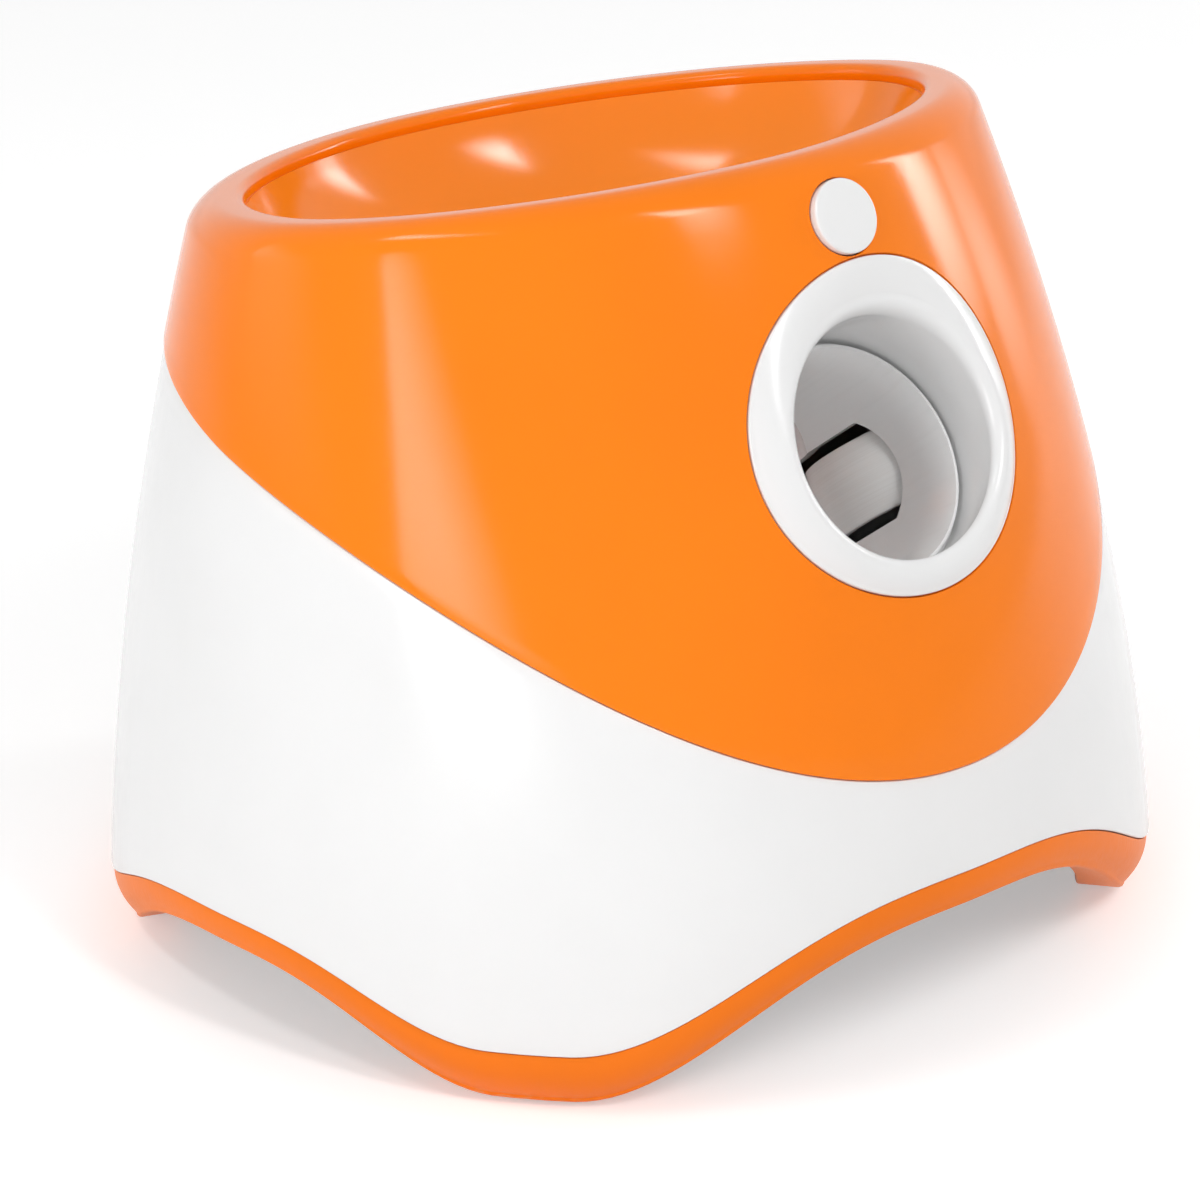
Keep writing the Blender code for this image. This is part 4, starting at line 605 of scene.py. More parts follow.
def make_top_housing():
    """Upper shell: rolled rim, curved lower edge, bezel seat and button hole."""
    columns = []
    tongue = SKIRT_STEP + WALL - LAP_WALL - GAP
    for bearing in turns(BODY_STEPS):
        split = height_on(bearing, 0.0, split_level)
        low = split + GAP
        lap = split + LAP_HEIGHT + GAP
        rim = [
            (inset, height_on(bearing, inset, rim_level) + drop) for inset, drop in rim_section()
        ]
        high = rim[0][1]
        section = [(tongue, low)]
        section += [(x, y + low) for x, y in arc(EDGE, EDGE, EDGE, EDGE, 3, 2, 4)]
        for row in range(1, SIDE_ROWS):
            section.append((0.0, low + EDGE + (high - low - EDGE) * row / SIDE_ROWS))
        section += rim
        for row in range(1, INNER_ROWS + 1):
            section.append((WALL, rim[-1][1] + (lap - rim[-1][1]) * row / INNER_ROWS))
        section.append((tongue, lap))
        columns.append([skin_point(bearing, height, inset) for inset, height in section])
    housing = loft("housing_shell", columns)
    face = face_place()
    wide = BEZEL_RADIUS + GAP
    seat = loft(
        "seat",
        [
            *softened_hole(face, wide),
            skin_ring(face, wide, BEZEL_FLANGE + GAP),
            skin_ring(face, BEZEL_NECK_RADIUS + GAP, BEZEL_FLANGE + GAP),
            skin_ring(face, BEZEL_NECK_RADIUS + 3 * GAP, WALL + OVERRUN),
        ],
        ends=True,
    )
    spot = skin_place(0.0, BUTTON_HEIGHT)
    hole = BUTTON_RADIUS + GAP
    rings = [*softened_hole(spot, hole, TUBE_STEPS), flat_ring(spot, hole, -OVERRUN, TUBE_STEPS)]
    button_hole = loft("button_hole", rings, ends=True)
    flange_top = BUTTON_FLANGE_THICKNESS + GAP - BUTTON_SKIRT
    recess = rod(hole + BUTTON_FLANGE_WIDTH, -BUTTON_BOARD_DEPTH, flange_top, spot, TUBE_STEPS)
    combine(housing, [seat, button_hole, recess], "DIFFERENCE")
    posts = []
    for side in (-1, 1):
        post = spot @ Matrix.Translation((side * BUTTON_POST_X, 0.0, 0.0))
        posts.append(rod(BUTTON_POST_RADIUS, GAP - BUTTON_BOARD_DEPTH, -BUTTON_POST_START, post))
    return combine(housing, posts, "UNION")


def rim_section():
    """Inset and drop of the rolled rim's section, from its outer wall round to its inner wall."""
    points = arc(RIM_OUTER_RADIUS, -RIM_OUTER_RADIUS, RIM_OUTER_RADIUS, RIM_OUTER_RADIUS, 2, 1, 12)
    start = RIM_WIDTH - RIM_INNER_RADIUS
    points += arc(start, -RIM_INNER_RADIUS, RIM_INNER_RADIUS, RIM_INNER_RADIUS, 1, 0, 10)
    points += [(RIM_WIDTH, -RIM_LIP_DEPTH), (RIM_WIDTH - RIM_WALL, -RIM_LIP_DEPTH)]
    inside = RIM_INNER_RADIUS - RIM_WALL
    points += arc(start, -RIM_INNER_RADIUS, inside, inside, 0, 1, 3)
    outside, crown = RIM_OUTER_RADIUS - WALL, RIM_OUTER_RADIUS - RIM_WALL
    points += arc(RIM_OUTER_RADIUS, -RIM_OUTER_RADIUS, outside, crown, 1, 2, 3)
    return points


def make_lower_shell():
    """White skirt between the wavy base edge and the parting line, with a half-lap upper edge."""
    columns = []
    inner = SKIRT_STEP + WALL
    for bearing in turns(BODY_STEPS):
        low = trim_top(bearing) + GAP
        high = height_on(bearing, 0.0, split_level)
        section = [(x + SKIRT_STEP, y + low) for x, y in arc(EDGE, EDGE, EDGE, EDGE, 3, 2, 4)]
        for row in range(1, SIDE_ROWS):
            section.append((SKIRT_STEP, low + EDGE + (high - low - EDGE) * row / SIDE_ROWS))
        section += [(x + SKIRT_STEP, y + high - GAP) for x, y in arc(GAP, 0.0, GAP, GAP, 2, 1, 3)]
        section.append((inner - LAP_WALL, high))
        section.append((inner - LAP_WALL, high + LAP_HEIGHT))
        section.append((inner, high + LAP_HEIGHT))
        for row in range(INNER_ROWS, -1, -1):
            section.append((inner, low + (high - low) * row / INNER_ROWS))
        columns.append([skin_point(bearing, height, inset) for inset, height in section])
    shell = loft("skirt_shell", columns)
    hole = rod(JACK_COLLAR_RADIUS + GAP, -OVERRUN, OVERRUN, skin_place(math.pi, JACK_HEIGHT))
    return combine(shell, [hole], "DIFFERENCE")


def make_base_trim():
    """Orange band with four feet, tucked behind the skirt by a tongue."""
    columns = []
    back = SKIRT_STEP + WALL + GAP
    radius = TRIM_EDGE_RADIUS
    for bearing in turns(BODY_STEPS):
        top = trim_top(bearing)
        low = trim_underside(bearing)
        tall = top - low
        section = []
        for row in range(TRIM_ROWS + 1):
            drop = (tall - radius) * row / TRIM_ROWS
            section.append((trim_inset(drop), top - drop))
        foot = trim_inset(tall - radius)
        corner = arc(radius, radius, radius, radius, 2, 3, 5)[1:]
        section += [(foot + x, low + y) for x, y in corner]
        inner = foot + arch_level(bearing, (TRIM_THICKNESS,) * 3, FOOT_THICKNESS)
        section += [(inner + x, low + y) for x, y in arc(-EDGE, EDGE, EDGE, EDGE, 3, 4, 3)]
        for row in range(1, TRIM_INNER_ROWS):
            share = row / TRIM_INNER_ROWS
            lean = (back + TRIM_TONGUE_WALL - inner) * share
            section.append((inner + lean, low + EDGE + (tall - EDGE) * share))
        section.append((back + TRIM_TONGUE_WALL, top))
        section.append((back + TRIM_TONGUE_WALL, top + TRIM_TONGUE))
        section.append((back, top + TRIM_TONGUE))
        section.append((back, top))
        columns.append([skin_point(bearing, height, inset) for inset, height in section])
    trim = loft("trim_band", columns)
    seats = []
    for _, place in foot_places():
        seats.append(rod(PAD_RADIUS + GAP, -OVERRUN, PAD_THICKNESS + GAP, place))
    return combine(trim, seats, "DIFFERENCE")


def foot_places():
    """Name and frame of each foot's pad."""
    inset = trim_inset(FOOT_TOP - PAD_THICKNESS) + (TRIM_EDGE_RADIUS + FOOT_THICKNESS) / 2
    places = []
    for side, hand in ((-1, "left"), (1, "right")):
        for end, bearing in (("front", FRONT_FOOT), ("rear", REAR_FOOT)):
            point = skin_point(side * bearing, 0.0, inset)
            places.append((end + "_" + hand, Matrix.Translation(point)))
    return places


def make_exit_bezel():
    """White ring round the launch opening, with the mouth tube that takes the barrel's lip."""
    place = face_place()
    outward = place.to_3x3() @ UPWARD
    rings = [skin_ring(place, BEZEL_RADIUS, BEZEL_FLANGE)]
    for inset, drop in arc(EDGE, 0.0, EDGE, EDGE, 2, 1, 4):
        rings.append(skin_ring(place, BEZEL_RADIUS - inset, EDGE - BEZEL_PROUD - drop))
    edge = rings[-1]
    crest = mouth_ring(MOUTH_CREST_RADIUS, 0.0)
    for row in range(1, FACE_ROWS):
        share = row / FACE_ROWS
        rise = outward * (BEZEL_DOME * (1 - (2 * share - 1) ** 2))
        rings.append([a.lerp(b, share) + rise for a, b in zip(edge, crest)])
    for x, y in arc(0.0, 0.0, MOUTH_CREST_RADIUS - MOUTH_RADIUS, MOUTH_ROUNDING, 1, 2, 8):
        rings.append(mouth_ring(MOUTH_CREST_RADIUS + x, MOUTH_ROUNDING - y))
    span = MOUTH_BELLY_DEPTH - MOUTH_ROUNDING
    for row in range(1, MOUTH_ROWS + 1):
        share = row / MOUTH_ROWS
        swell = math.sin(math.pi / 2 * share)
        radius = MOUTH_RADIUS + (MOUTH_BELLY_RADIUS - MOUTH_RADIUS) * swell
        rings.append(mouth_ring(radius, MOUTH_ROUNDING + span * share))
    socket = BARREL_RADIUS + GAP
    end = SOCKET_DEPTH + SOCKET_LENGTH
    rings += [
        mouth_ring(MOUTH_BELLY_RADIUS, SOCKET_DEPTH),
        mouth_ring(socket, SOCKET_DEPTH),
        mouth_ring(socket, end),
        mouth_ring(socket + BEZEL_TUBE_WALL, end),
        mouth_ring(MOUTH_BELLY_RADIUS + BEZEL_TUBE_WALL, MOUTH_BELLY_DEPTH),
        skin_ring(place, BEZEL_NECK_RADIUS, WALL),
        skin_ring(place, BEZEL_NECK_RADIUS, BEZEL_FLANGE),
    ]
    return loft("bezel_ring", rings)


def tube_end(radius, rear):
    """Rounded closed end of the barrel's outside or of its bore."""
    fillet = BREECH_FILLET
    return [(0, -rear), *arc(radius - fillet, fillet - rear, fillet, fillet, -1, 0, 6)]


def make_launch_barrel():
    """Inclined barrel with a closed breech, a feed port and a slot for each wheel."""
    launch = launch_place()
    rounding = LIP_DEPTH + LIP_ROUNDING
    outside = tube_end(BARREL_RADIUS, BREECH_DEPTH + BARREL_WALL)
    crown = arc(BARREL_RADIUS - LIP_ROUNDING, -rounding, LIP_ROUNDING, LIP_ROUNDING, 0, 1, 4)
    barrel = lathe("barrel_tube", outside + crown + [(0, -LIP_DEPTH)], launch, TUBE_STEPS)
    port = across_place(0.0, PORT_DEPTH)
    neck = PORT_RADIUS + PORT_WALL
    wide = neck + PORT_FLANGE_WIDTH
    under = PORT_HEIGHT - PORT_FLANGE_THICKNESS
    collar = [(0, BARREL_WALL), (neck, BARREL_WALL), (neck, under), (wide, under)]
    collar += [(wide, PORT_HEIGHT), (0, PORT_HEIGHT)]
    turned = port @ Matrix.Rotation(turns(TUBE_STEPS, LEAD)[0], 4, "Z")
    combine(barrel, [lathe("collar", collar, turned, TUBE_STEPS)], "UNION")
    half = WHEEL_WIDTH / 2 + SLOT_MARGIN
    reach = WHEEL_RADIUS + WHEEL_CLEARANCE
    slots = [rod(reach, -half, half, wheel_place(side), TUBE_STEPS) for side in (-1, 1)]
    inside = tube_end(BORE_RADIUS, BREECH_DEPTH)
    for row in range(FLARE_ROWS + 1):
        share = row / FLARE_ROWS
        radius = BORE_RADIUS + FLARE_WIDTH * share**2
        inside.append((radius, -LIP_DEPTH - FLARE_DEPTH * (1 - share)))
    flare = BORE_RADIUS + FLARE_WIDTH
    inside += [(flare, OVERRUN), (0, OVERRUN)]
    port_bore = rod(PORT_RADIUS, 0.0, PORT_HEIGHT + OVERRUN, port, TUBE_STEPS)
    bore = lathe("bore", inside, launch, TUBE_STEPS)
    return combine(barrel, [*slots, port_bore, bore], "DIFFERENCE")


def wheel_place(side):
    """Frame of a wheel, with z along its axle."""
    return across_place(side * (WHEEL_NIP / 2 + WHEEL_RADIUS), WHEEL_DEPTH)


def make_wheel(side):
    """Launch wheel: hub, web and a crowned rim with softened edges."""
    half = WHEEL_WIDTH / 2
    rim = WHEEL_RADIUS - WHEEL_RIM
    web = WHEEL_WEB / 2
    bore = SHAFT_RADIUS + GAP
    upper = []
    for row in range(TREAD_ROWS + 1):
        share = row / TREAD_ROWS
        upper.append((WHEEL_RADIUS - WHEEL_CROWN * share**2, (half - EDGE) * share))
    edge = WHEEL_RADIUS - WHEEL_CROWN - EDGE
    upper += arc(edge, half - EDGE, EDGE, EDGE, 0, 1, 3)[1:]
    upper += arc(rim + EDGE, half - EDGE, EDGE, EDGE, 1, 2, 3)
    upper += arc(rim - 2 * EDGE, web + 2 * EDGE, 2 * EDGE, 2 * EDGE, 4, 3, 4)
    upper += arc(WHEEL_HUB_RADIUS + 2 * EDGE, web + 2 * EDGE, 2 * EDGE, 2 * EDGE, 3, 2, 4)
    upper += arc(WHEEL_HUB_RADIUS - EDGE, half - 2 * EDGE, EDGE, EDGE, 0, 1, 3)
    upper.append((bore, half - EDGE))
    lower = [(radius, -height) for radius, height in reversed(upper[1:])]
    hand = "left" if side < 0 else "right"
    return lathe("launch_wheel_" + hand, upper + lower, wheel_place(side), TUBE_STEPS, ring=True)


def make_hopper_bowl():
    """Funnel-shaped bowl under the rim, with a round spigot into the chute."""
    place = across_place(0.0, PORT_DEPTH)
    columns = []
    for bearing in turns(BOWL_STEPS):
        faces = []
        for outward in (0.0, BOWL_WALL):
            inset = RIM_WIDTH + BOWL_SEAT - outward
            lip = height_on(bearing, inset, rim_level) - RIM_LIP_DEPTH
            top = skin_point(bearing, lip - GAP / 10, inset)
            radius = SPIGOT_RADIUS + outward
            ring = Vector((radius * math.sin(bearing), -radius * math.cos(bearing), 0.0))
            out = place @ (ring + UPWARD * (CHUTE_TOP + GAP + BOWL_WALL))
            knee = top.lerp(out, KNEE_IN)
            knee.z = top.z - (top.z - out.z) * KNEE_DROP - outward
            side = []
            for row in range(BOWL_ROWS + 1):
                share = row / BOWL_ROWS
                rest = 1 - share
                side.append(top * rest**2 + knee * 2 * share * rest + out * share**2)
            side.append(place @ (ring + UPWARD * (CHUTE_TOP - SPIGOT_LENGTH)))
            faces.append(side)
        columns.append(faces[0] + list(reversed(faces[1])))
    return loft("bowl_funnel", columns)


def make_button():
    """Round push button: softened face, skirt, retaining flange and stem."""
    top = BUTTON_PROUD
    under = top - BUTTON_TOP_THICKNESS
    flange = BUTTON_RADIUS + BUTTON_FLANGE_WIDTH
    stem_end = TACT_HEIGHT - BUTTON_BOARD_DEPTH + GAP + BUTTON_TRAVEL
    inner = BUTTON_RADIUS - BUTTON_SKIRT_WALL
    profile = [
        (0, stem_end),
        (BUTTON_STEM_RADIUS, stem_end),
        (BUTTON_STEM_RADIUS, under),
        (inner, under),
        (inner, -BUTTON_SKIRT),
        (flange, -BUTTON_SKIRT),
        (flange, BUTTON_FLANGE_THICKNESS - BUTTON_SKIRT),
        (BUTTON_RADIUS, BUTTON_FLANGE_THICKNESS - BUTTON_SKIRT),
    ]
    corner = BUTTON_RADIUS - BUTTON_ROUNDING
    profile += arc(corner, top - BUTTON_ROUNDING, BUTTON_ROUNDING, BUTTON_ROUNDING, 0, 1, 6)
    profile += [(corner * 2 / 3, top), (corner / 3, top), (0, top)]
    return lathe("push_button", profile, skin_place(0.0, BUTTON_HEIGHT), TUBE_STEPS)


def make_button_spring():
    """Coil spring between the button's board and its underside."""
    place = skin_place(0.0, BUTTON_HEIGHT)
    low = SPRING_FOOT + SPRING_WIRE
    high = SPRING_HEAD - SPRING_WIRE
    rings = []
    for step in range(SPRING_TURNS * COIL_STEPS + 1):
        share = step / (SPRING_TURNS * COIL_STEPS)
        turn = 2 * math.pi * SPRING_TURNS * share
        outward = Vector((math.cos(turn), math.sin(turn), 0.0))
        centre = outward * SPRING_RADIUS + UPWARD * (low + (high - low) * share)
        wire = arc(0.0, 0.0, SPRING_WIRE, SPRING_WIRE, 0, 4, WIRE_SIDES)[:-1]
        rings.append([place @ (centre + outward * x + UPWARD * y) for x, y in wire])
    return loft("button_coil", rings, ends=True)


def make_foot_pad(name, place):
    """Rubber pad with softened edges."""
    edge = PAD_SEAT / 2
    profile = [(0, 0.0), *arc(PAD_RADIUS - edge, edge, edge, edge, 3, 4, 4)]
    profile += [(PAD_RADIUS, PAD_THICKNESS), (0, PAD_THICKNESS)]
    return lathe("pad_" + name, profile, place, SMALL_STEPS)


def make_power_jack():
    """Barrel socket in the rear wall: round collar, square body, bore and centre pin."""
    place = skin_place(math.pi, JACK_HEIGHT)
    front = JACK_PROUD - SKIRT_STEP
    back = front - JACK_COLLAR_LENGTH
    corner = JACK_COLLAR_RADIUS - GAP
    profile = [(0, back), (JACK_COLLAR_RADIUS, back)]
    profile += [*arc(corner, front - GAP, GAP, GAP, 0, 1, 3), (0, front)]
    jack = lathe("jack_socket", profile, place, SMALL_STEPS)
    half = JACK_BODY_SIDE / 2
    end = back - JACK_BODY_LENGTH + JACK_COLLAR_LENGTH
    combine(jack, [block((-half, -half, end), (half, half, back + GAP), place)], "UNION")
    depth = front - JACK_BORE_DEPTH
    edge = JACK_BORE_RADIUS + GAP
    bore = [(0, depth), (JACK_BORE_RADIUS, depth), (JACK_BORE_RADIUS, front - GAP), (edge, front)]
    bore += [(edge, front + OVERRUN), (0, front + OVERRUN)]
    combine(jack, [lathe("bore", bore, place, SMALL_STEPS)], "DIFFERENCE")
    pin = rod(JACK_PIN_RADIUS, depth - GAP, front - EDGE, place, PIN_STEPS)
    return combine(jack, [pin], "UNION")


def make_cover_screw(name, node):
    """Pan-head screw with a cross recess and a cut thread."""
    low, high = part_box(node)
    place = Matrix.Translation(((low.x + high.x) / 2, (low.y + high.y) / 2, low.z))
    profile = [(0, 0.0), *arc(SCREW_HEAD_RADIUS - EDGE, EDGE, EDGE, EDGE, 3, 4, 4)]
    profile += [(SCREW_HEAD_RADIUS, SCREW_HEAD_HEIGHT), (SCREW_ROOT_RADIUS, SCREW_HEAD_HEIGHT)]
    length = high.z - low.z
    for turn in range(int((length - SCREW_HEAD_HEIGHT) / SCREW_PITCH) - 2):
        thread = SCREW_HEAD_HEIGHT + (turn + 1) * SCREW_PITCH
        profile += [(SCREW_ROOT_RADIUS, thread), (SCREW_RADIUS, thread + SCREW_PITCH / 2)]
    profile += [(SCREW_ROOT_RADIUS, length - SCREW_PITCH), (0, length)]
    screw = lathe(name, profile, place, SMALL_STEPS)
    half, side = SCREW_RECESS_LENGTH / 2, SCREW_RECESS_WIDTH / 2
    depth = SCREW_RECESS_DEPTH
    recess = block((-half, -side, -GAP), (half, side, depth), place)
    combine(recess, [block((-side, -half, -GAP), (side, half, depth + GAP / 3), place)], "UNION")
    return combine(screw, [recess], "DIFFERENCE")


def hang_lamp(name, bearing, height, distance, width, tall, brightness):
    """Rectangular lamp that looks at the launcher, placed by its bearing and its height."""
    lamp = bpy.data.lights.new(name, "AREA")
    lamp.shape = "RECTANGLE"
    lamp.size, lamp.size_y = width, tall
    lamp.energy = math.pi * width * tall * brightness
    soften(lamp)
    thing = bpy.data.objects.new(name, lamp)
    bpy.context.scene.collection.objects.link(thing)
    turn, rise = math.radians(bearing), math.radians(height)
    level = math.cos(rise)
    out = Vector((math.sin(turn) * level, -math.cos(turn) * level, math.sin(rise)))
    thing.location = LAMP_AIM + out * distance
    thing.rotation_euler = (-out).to_track_quat("-Z", "Y").to_euler()


def soften(lamp):
    """Fade a lamp's light out towards its edges, so that its highlights end softly."""
    lamp.use_nodes = True
    tree = lamp.node_tree
    spot = shader_node(tree, "NewGeometry").outputs["Parametric"]
    shares = shader_node(tree, "SeparateXYZ", {"Vector": spot}).outputs
    fades = []
    for share in (shares["Y"], maths(tree, "ADD", shares["X"], shares["Y"])):
        away = maths(tree, "ABSOLUTE", maths(tree, "SUBTRACT", share, 0.5))
        fades.append(spread(tree, away, 1.0, 0.0, LAMP_CORE, 0.5))
    tree.links.new(maths(tree, "MULTIPLY", *fades), tree.nodes["Emission"].inputs["Strength"])


def backdrop_rays(tree):
    """1 for rays that show the background: seen straight, mirrored or through something clear."""
    paths = shader_node(tree, "LightPath").outputs
    seen = paths["Is Camera Ray"]
    for name in ("Is Glossy Ray", "Is Transmission Ray"):
        seen = maths(tree, "MAXIMUM", seen, paths[name])
    return seen


def floor_white():
    """Pale floor that keeps the launcher's shadow and goes over into the white background."""
    material, tree, shader = start_finish("floor_white", (0.85, 0.85, 0.85), 0.6, gloss=0.2)
    shader.inputs["Emission Color"].default_value = (1.0, 1.0, 1.0, 1.0)
    lift = spread(tree, backdrop_rays(tree), 0.0, FLOOR_LIFT, 0.0, 1.0)
    tree.links.new(lift, shader.inputs["Emission Strength"])
    return material


def studio_world(ambient):
    """White surroundings, whose light on the launcher is held back."""
    world = bpy.data.worlds.new("studio")
    world.use_nodes = True
    tree = world.node_tree
    background = tree.nodes["Background"]
    background.inputs["Color"].default_value = (1.0, 1.0, 1.0, 1.0)
    strength = spread(tree, backdrop_rays(tree), ambient, 1.0, 0.0, 1.0)
    tree.links.new(strength, background.inputs["Strength"])
    return world


def shader_node(tree, kind, inputs=None, **settings):
    """Add a shader node. Each input takes a value, or the output that feeds it."""
    made = tree.nodes.new("ShaderNode" + kind)
    for name, value in settings.items():
        setattr(made, name, value)
    for name, value in (inputs or {}).items():
        if isinstance(value, bpy.types.NodeSocket):
            tree.links.new(value, made.inputs[name])
        else:
            made.inputs[name].default_value = value
    return made


def maths(tree, operation, *values):
    """One sum on values or outputs."""
    return shader_node(tree, "Math", dict(enumerate(values)), operation=operation).outputs[0]


def coordinate(tree, axis, kind="Object"):
    """Place on the piece, or direction of its surface, along one axis."""
    spot = shader_node(tree, "TexCoord").outputs[kind]
    return shader_node(tree, "SeparateXYZ", {"Vector": spot}).outputs[axis]


def place_of(tree, sizes, angle=0.0):
    """Place on the piece counted in grains of the given sizes, leant back by an angle."""
    spot = shader_node(tree, "TexCoord").outputs["Object"]
    inputs = {"Vector": spot, "Rotation": (angle, 0.0, 0.0), "Scale": sizes}
    return shader_node(tree, "Mapping", inputs, vector_type="TEXTURE").outputs["Vector"]


def speckle(tree, sizes, angle=0.0, detail=3.0):
    """Cloudy pattern with grains of the given sizes in metres, as x, y and z or one for all."""
    if isinstance(sizes, float):
        sizes = (sizes,) * 3
    inputs = {"Vector": place_of(tree, sizes, angle), "Scale": 1.0, "Detail": detail}
    return shader_node(tree, "TexNoise", inputs).outputs["Fac"]


def spread(tree, pattern, low, high, start=0.3, stop=0.7):
    """Run a pattern's values, from start to stop, between two others."""
    names = ("Value", "From Min", "From Max", "To Min", "To Max")
    inputs = dict(zip(names, (pattern, start, stop, low, high)))
    return shader_node(tree, "MapRange", inputs).outputs["Result"]


def tint(tree, pattern, *stops):
    """Colour a pattern by stops, each a place on it and a colour."""
    ramp = shader_node(tree, "ValToRGB", {"Fac": pattern})
    for element, (place, colour) in zip(ramp.color_ramp.elements, stops):
        element.position = place
        element.color = (*colour, 1.0)
    return ramp.outputs["Color"]


def overlay(tree, mask, under, over):
    """Colour that turns from one to the other where a mask rises."""
    mixer = shader_node(tree, "Mix", data_type="RGBA")
    for index, value in ((0, mask), (6, under), (7, over)):
        if isinstance(value, bpy.types.NodeSocket):
            tree.links.new(value, mixer.inputs[index])
        else:
            mixer.inputs[index].default_value = (*value, 1.0)
    return mixer.outputs[2]


def mark(tree, shader, mask, colour):
    """Lay a colour over a finish where a mask rises."""
    base = shader.inputs["Base Color"]
    tree.links.new(overlay(tree, mask, base.links[0].from_socket, colour), base)


def shaded(colour, share):
    """A colour made darker or lighter by a share."""
    return [min(1.0, channel * share) for channel in colour]


def start_finish(name, colour, roughness, gloss=0.5, metallic=0.0):
    """Begin a finish: its node tree and its shader."""
    material = bpy.data.materials.new(name)
    material.use_nodes = True
    tree = material.node_tree
    shader = tree.nodes["Principled BSDF"]
    shader.inputs["Base Color"].default_value = (*colour, 1.0)
    shader.inputs["Roughness"].default_value = roughness
    shader.inputs["Specular IOR Level"].default_value = gloss
    shader.inputs["Metallic"].default_value = metallic
    return material, tree, shader


def emboss(tree, shader, pattern, depth):
    """Add a relief with a depth in metres to those that the shader already has."""
    inputs = {"Height": pattern, "Distance": depth, "Strength": 1.0}
    bump = shader_node(tree, "Bump", inputs)
    if shader.inputs["Normal"].is_linked:
        tree.links.new(shader.inputs["Normal"].links[0].from_socket, bump.inputs["Normal"])
    tree.links.new(bump.outputs["Normal"], shader.inputs["Normal"])


def moulded(name, colour, roughness, gloss, grain, depth, haze=0.04, drift=0.03, flow=0.000006):
    """Moulded plastic: drift of colour, haze and hairlines in its gloss, mould grain and flow."""
    material, tree, shader = start_finish(name, colour, roughness, gloss=gloss)
    slow = speckle(tree, DRIFT_SIZE)
    colours = (0.35, shaded(colour, 1 - drift)), (0.65, shaded(colour, 1 + drift))
    tree.links.new(tint(tree, slow, *colours), shader.inputs["Base Color"])
    hairs = speckle(tree, HAIRLINE_SIZES, detail=4.0)
    dullness = spread(tree, hairs, roughness - haze, roughness + haze)
    tree.links.new(dullness, shader.inputs["Roughness"])
    emboss(tree, shader, speckle(tree, grain, detail=2.0), depth)
    emboss(tree, shader, speckle(tree, FLOW_SIZE, detail=1.0), flow)
    return material


def housing_gloss():
    """Polished orange of the upper shell."""
    colour = bpy.context.scene.launcher_colours.housing
    relief = {"grain": 0.0025, "depth": 0.000004}
    return moulded("housing_gloss", colour, roughness=0.12, gloss=0.21, drift=0.02, **relief)


def bowl_gloss_painted_light():
    """Polished orange of the bowl with painted light: lighter than the shell, to offset the shade
    and reddening that its walls bounce onto each other.
    """
    red, green, blue = bpy.context.scene.launcher_colours.housing
    # Painted light: green raised by a quarter, so that the bowl's shaded walls read lighter and
    # yellower.
    colour = (red, green * 1.25, blue)
    relief = {"grain": 0.0025, "depth": 0.000004}
    return moulded("bowl_gloss_painted_light", colour, roughness=0.14, gloss=0.36, drift=0.02, **relief)


def trim_satin():
    """Spark-textured orange of the base trim, scuffed pale along the undersides of its feet."""
    colour = bpy.context.scene.launcher_colours.trim
    relief = {"grain": 0.0003, "depth": 0.000008}
    material = moulded("trim_satin", colour, roughness=0.40, gloss=0.20, haze=0.05, **relief)
    tree = material.node_tree
    shader = tree.nodes["Principled BSDF"]
    height = coordinate(tree, "Z")
    low = spread(tree, height, 1.0, 0.0, PAD_THICKNESS, PAD_THICKNESS + 2 * TRIM_EDGE_RADIUS)
    marks = spread(tree, speckle(tree, (0.0040, 0.0040, 0.0006)), 0.0, 0.35, 0.5, 0.6)
    mark(tree, shader, maths(tree, "MULTIPLY", low, marks), (0.75, 0.45, 0.25))
    return material


def shell_gloss():
    """Polished white of the skirt and the button."""
    colour = bpy.context.scene.launcher_colours.shell
    relief = {"grain": 0.0025, "depth": 0.000004}
    return moulded("shell_gloss", colour, roughness=0.17, gloss=0.4, drift=0.012, **relief)


def bezel_satin():
    """White of the exit bezel, less polished than the skirt."""
    colour = shaded(bpy.context.scene.launcher_colours.shell, 0.99)
    relief = {"grain": 0.0004, "depth": 0.000002}
    return moulded(
        "bezel_satin", colour, roughness=0.20, gloss=0.4, haze=0.02, drift=0.012, **relief
    )


def barrel_white_painted_light():
    """White of the barrel with painted light, lighter than the shell's white so that the shaded
    bore shows bright; faint rub marks along its bore.
    """
    # Painted light: the shell's white raised by 1.16, standing in for light that does not reach
    # into the bore.
    colour = shaded(bpy.context.scene.launcher_colours.shell, 1.16)
    relief = {"grain": 0.0006, "depth": 0.000003}
    material = moulded("barrel_white_painted_light", colour, roughness=0.18, gloss=0.4, drift=0.012, **relief)
    tree = material.node_tree
    shader = tree.nodes["Principled BSDF"]
    streaks = speckle(tree, (0.0016, 0.0016, 0.060), BORE_LEAN, detail=4.0)
    mark(tree, shader, spread(tree, streaks, 0.0, 0.05, 0.52, 0.68), (0.60, 0.58, 0.54))
    emboss(tree, shader, streaks, 0.000001)
    return material


def grey_matt():
    """Grey of the bottom cover, the battery door and the inner mouldings."""
    relief = {"grain": 0.0005, "depth": 0.000014, "flow": 0.00001}
    return moulded("grey_matt", (0.35, 0.36, 0.38), roughness=0.52, gloss=0.4, haze=0.06, **relief)


def black_matt():
    """Black of the tray, the switches and the jack."""
    colour = (0.022, 0.022, 0.023)
    relief = {"grain": 0.0004, "depth": 0.000010}
    return moulded("black_matt", colour, roughness=0.42, gloss=0.4, haze=0.07, drift=0.10, **relief)


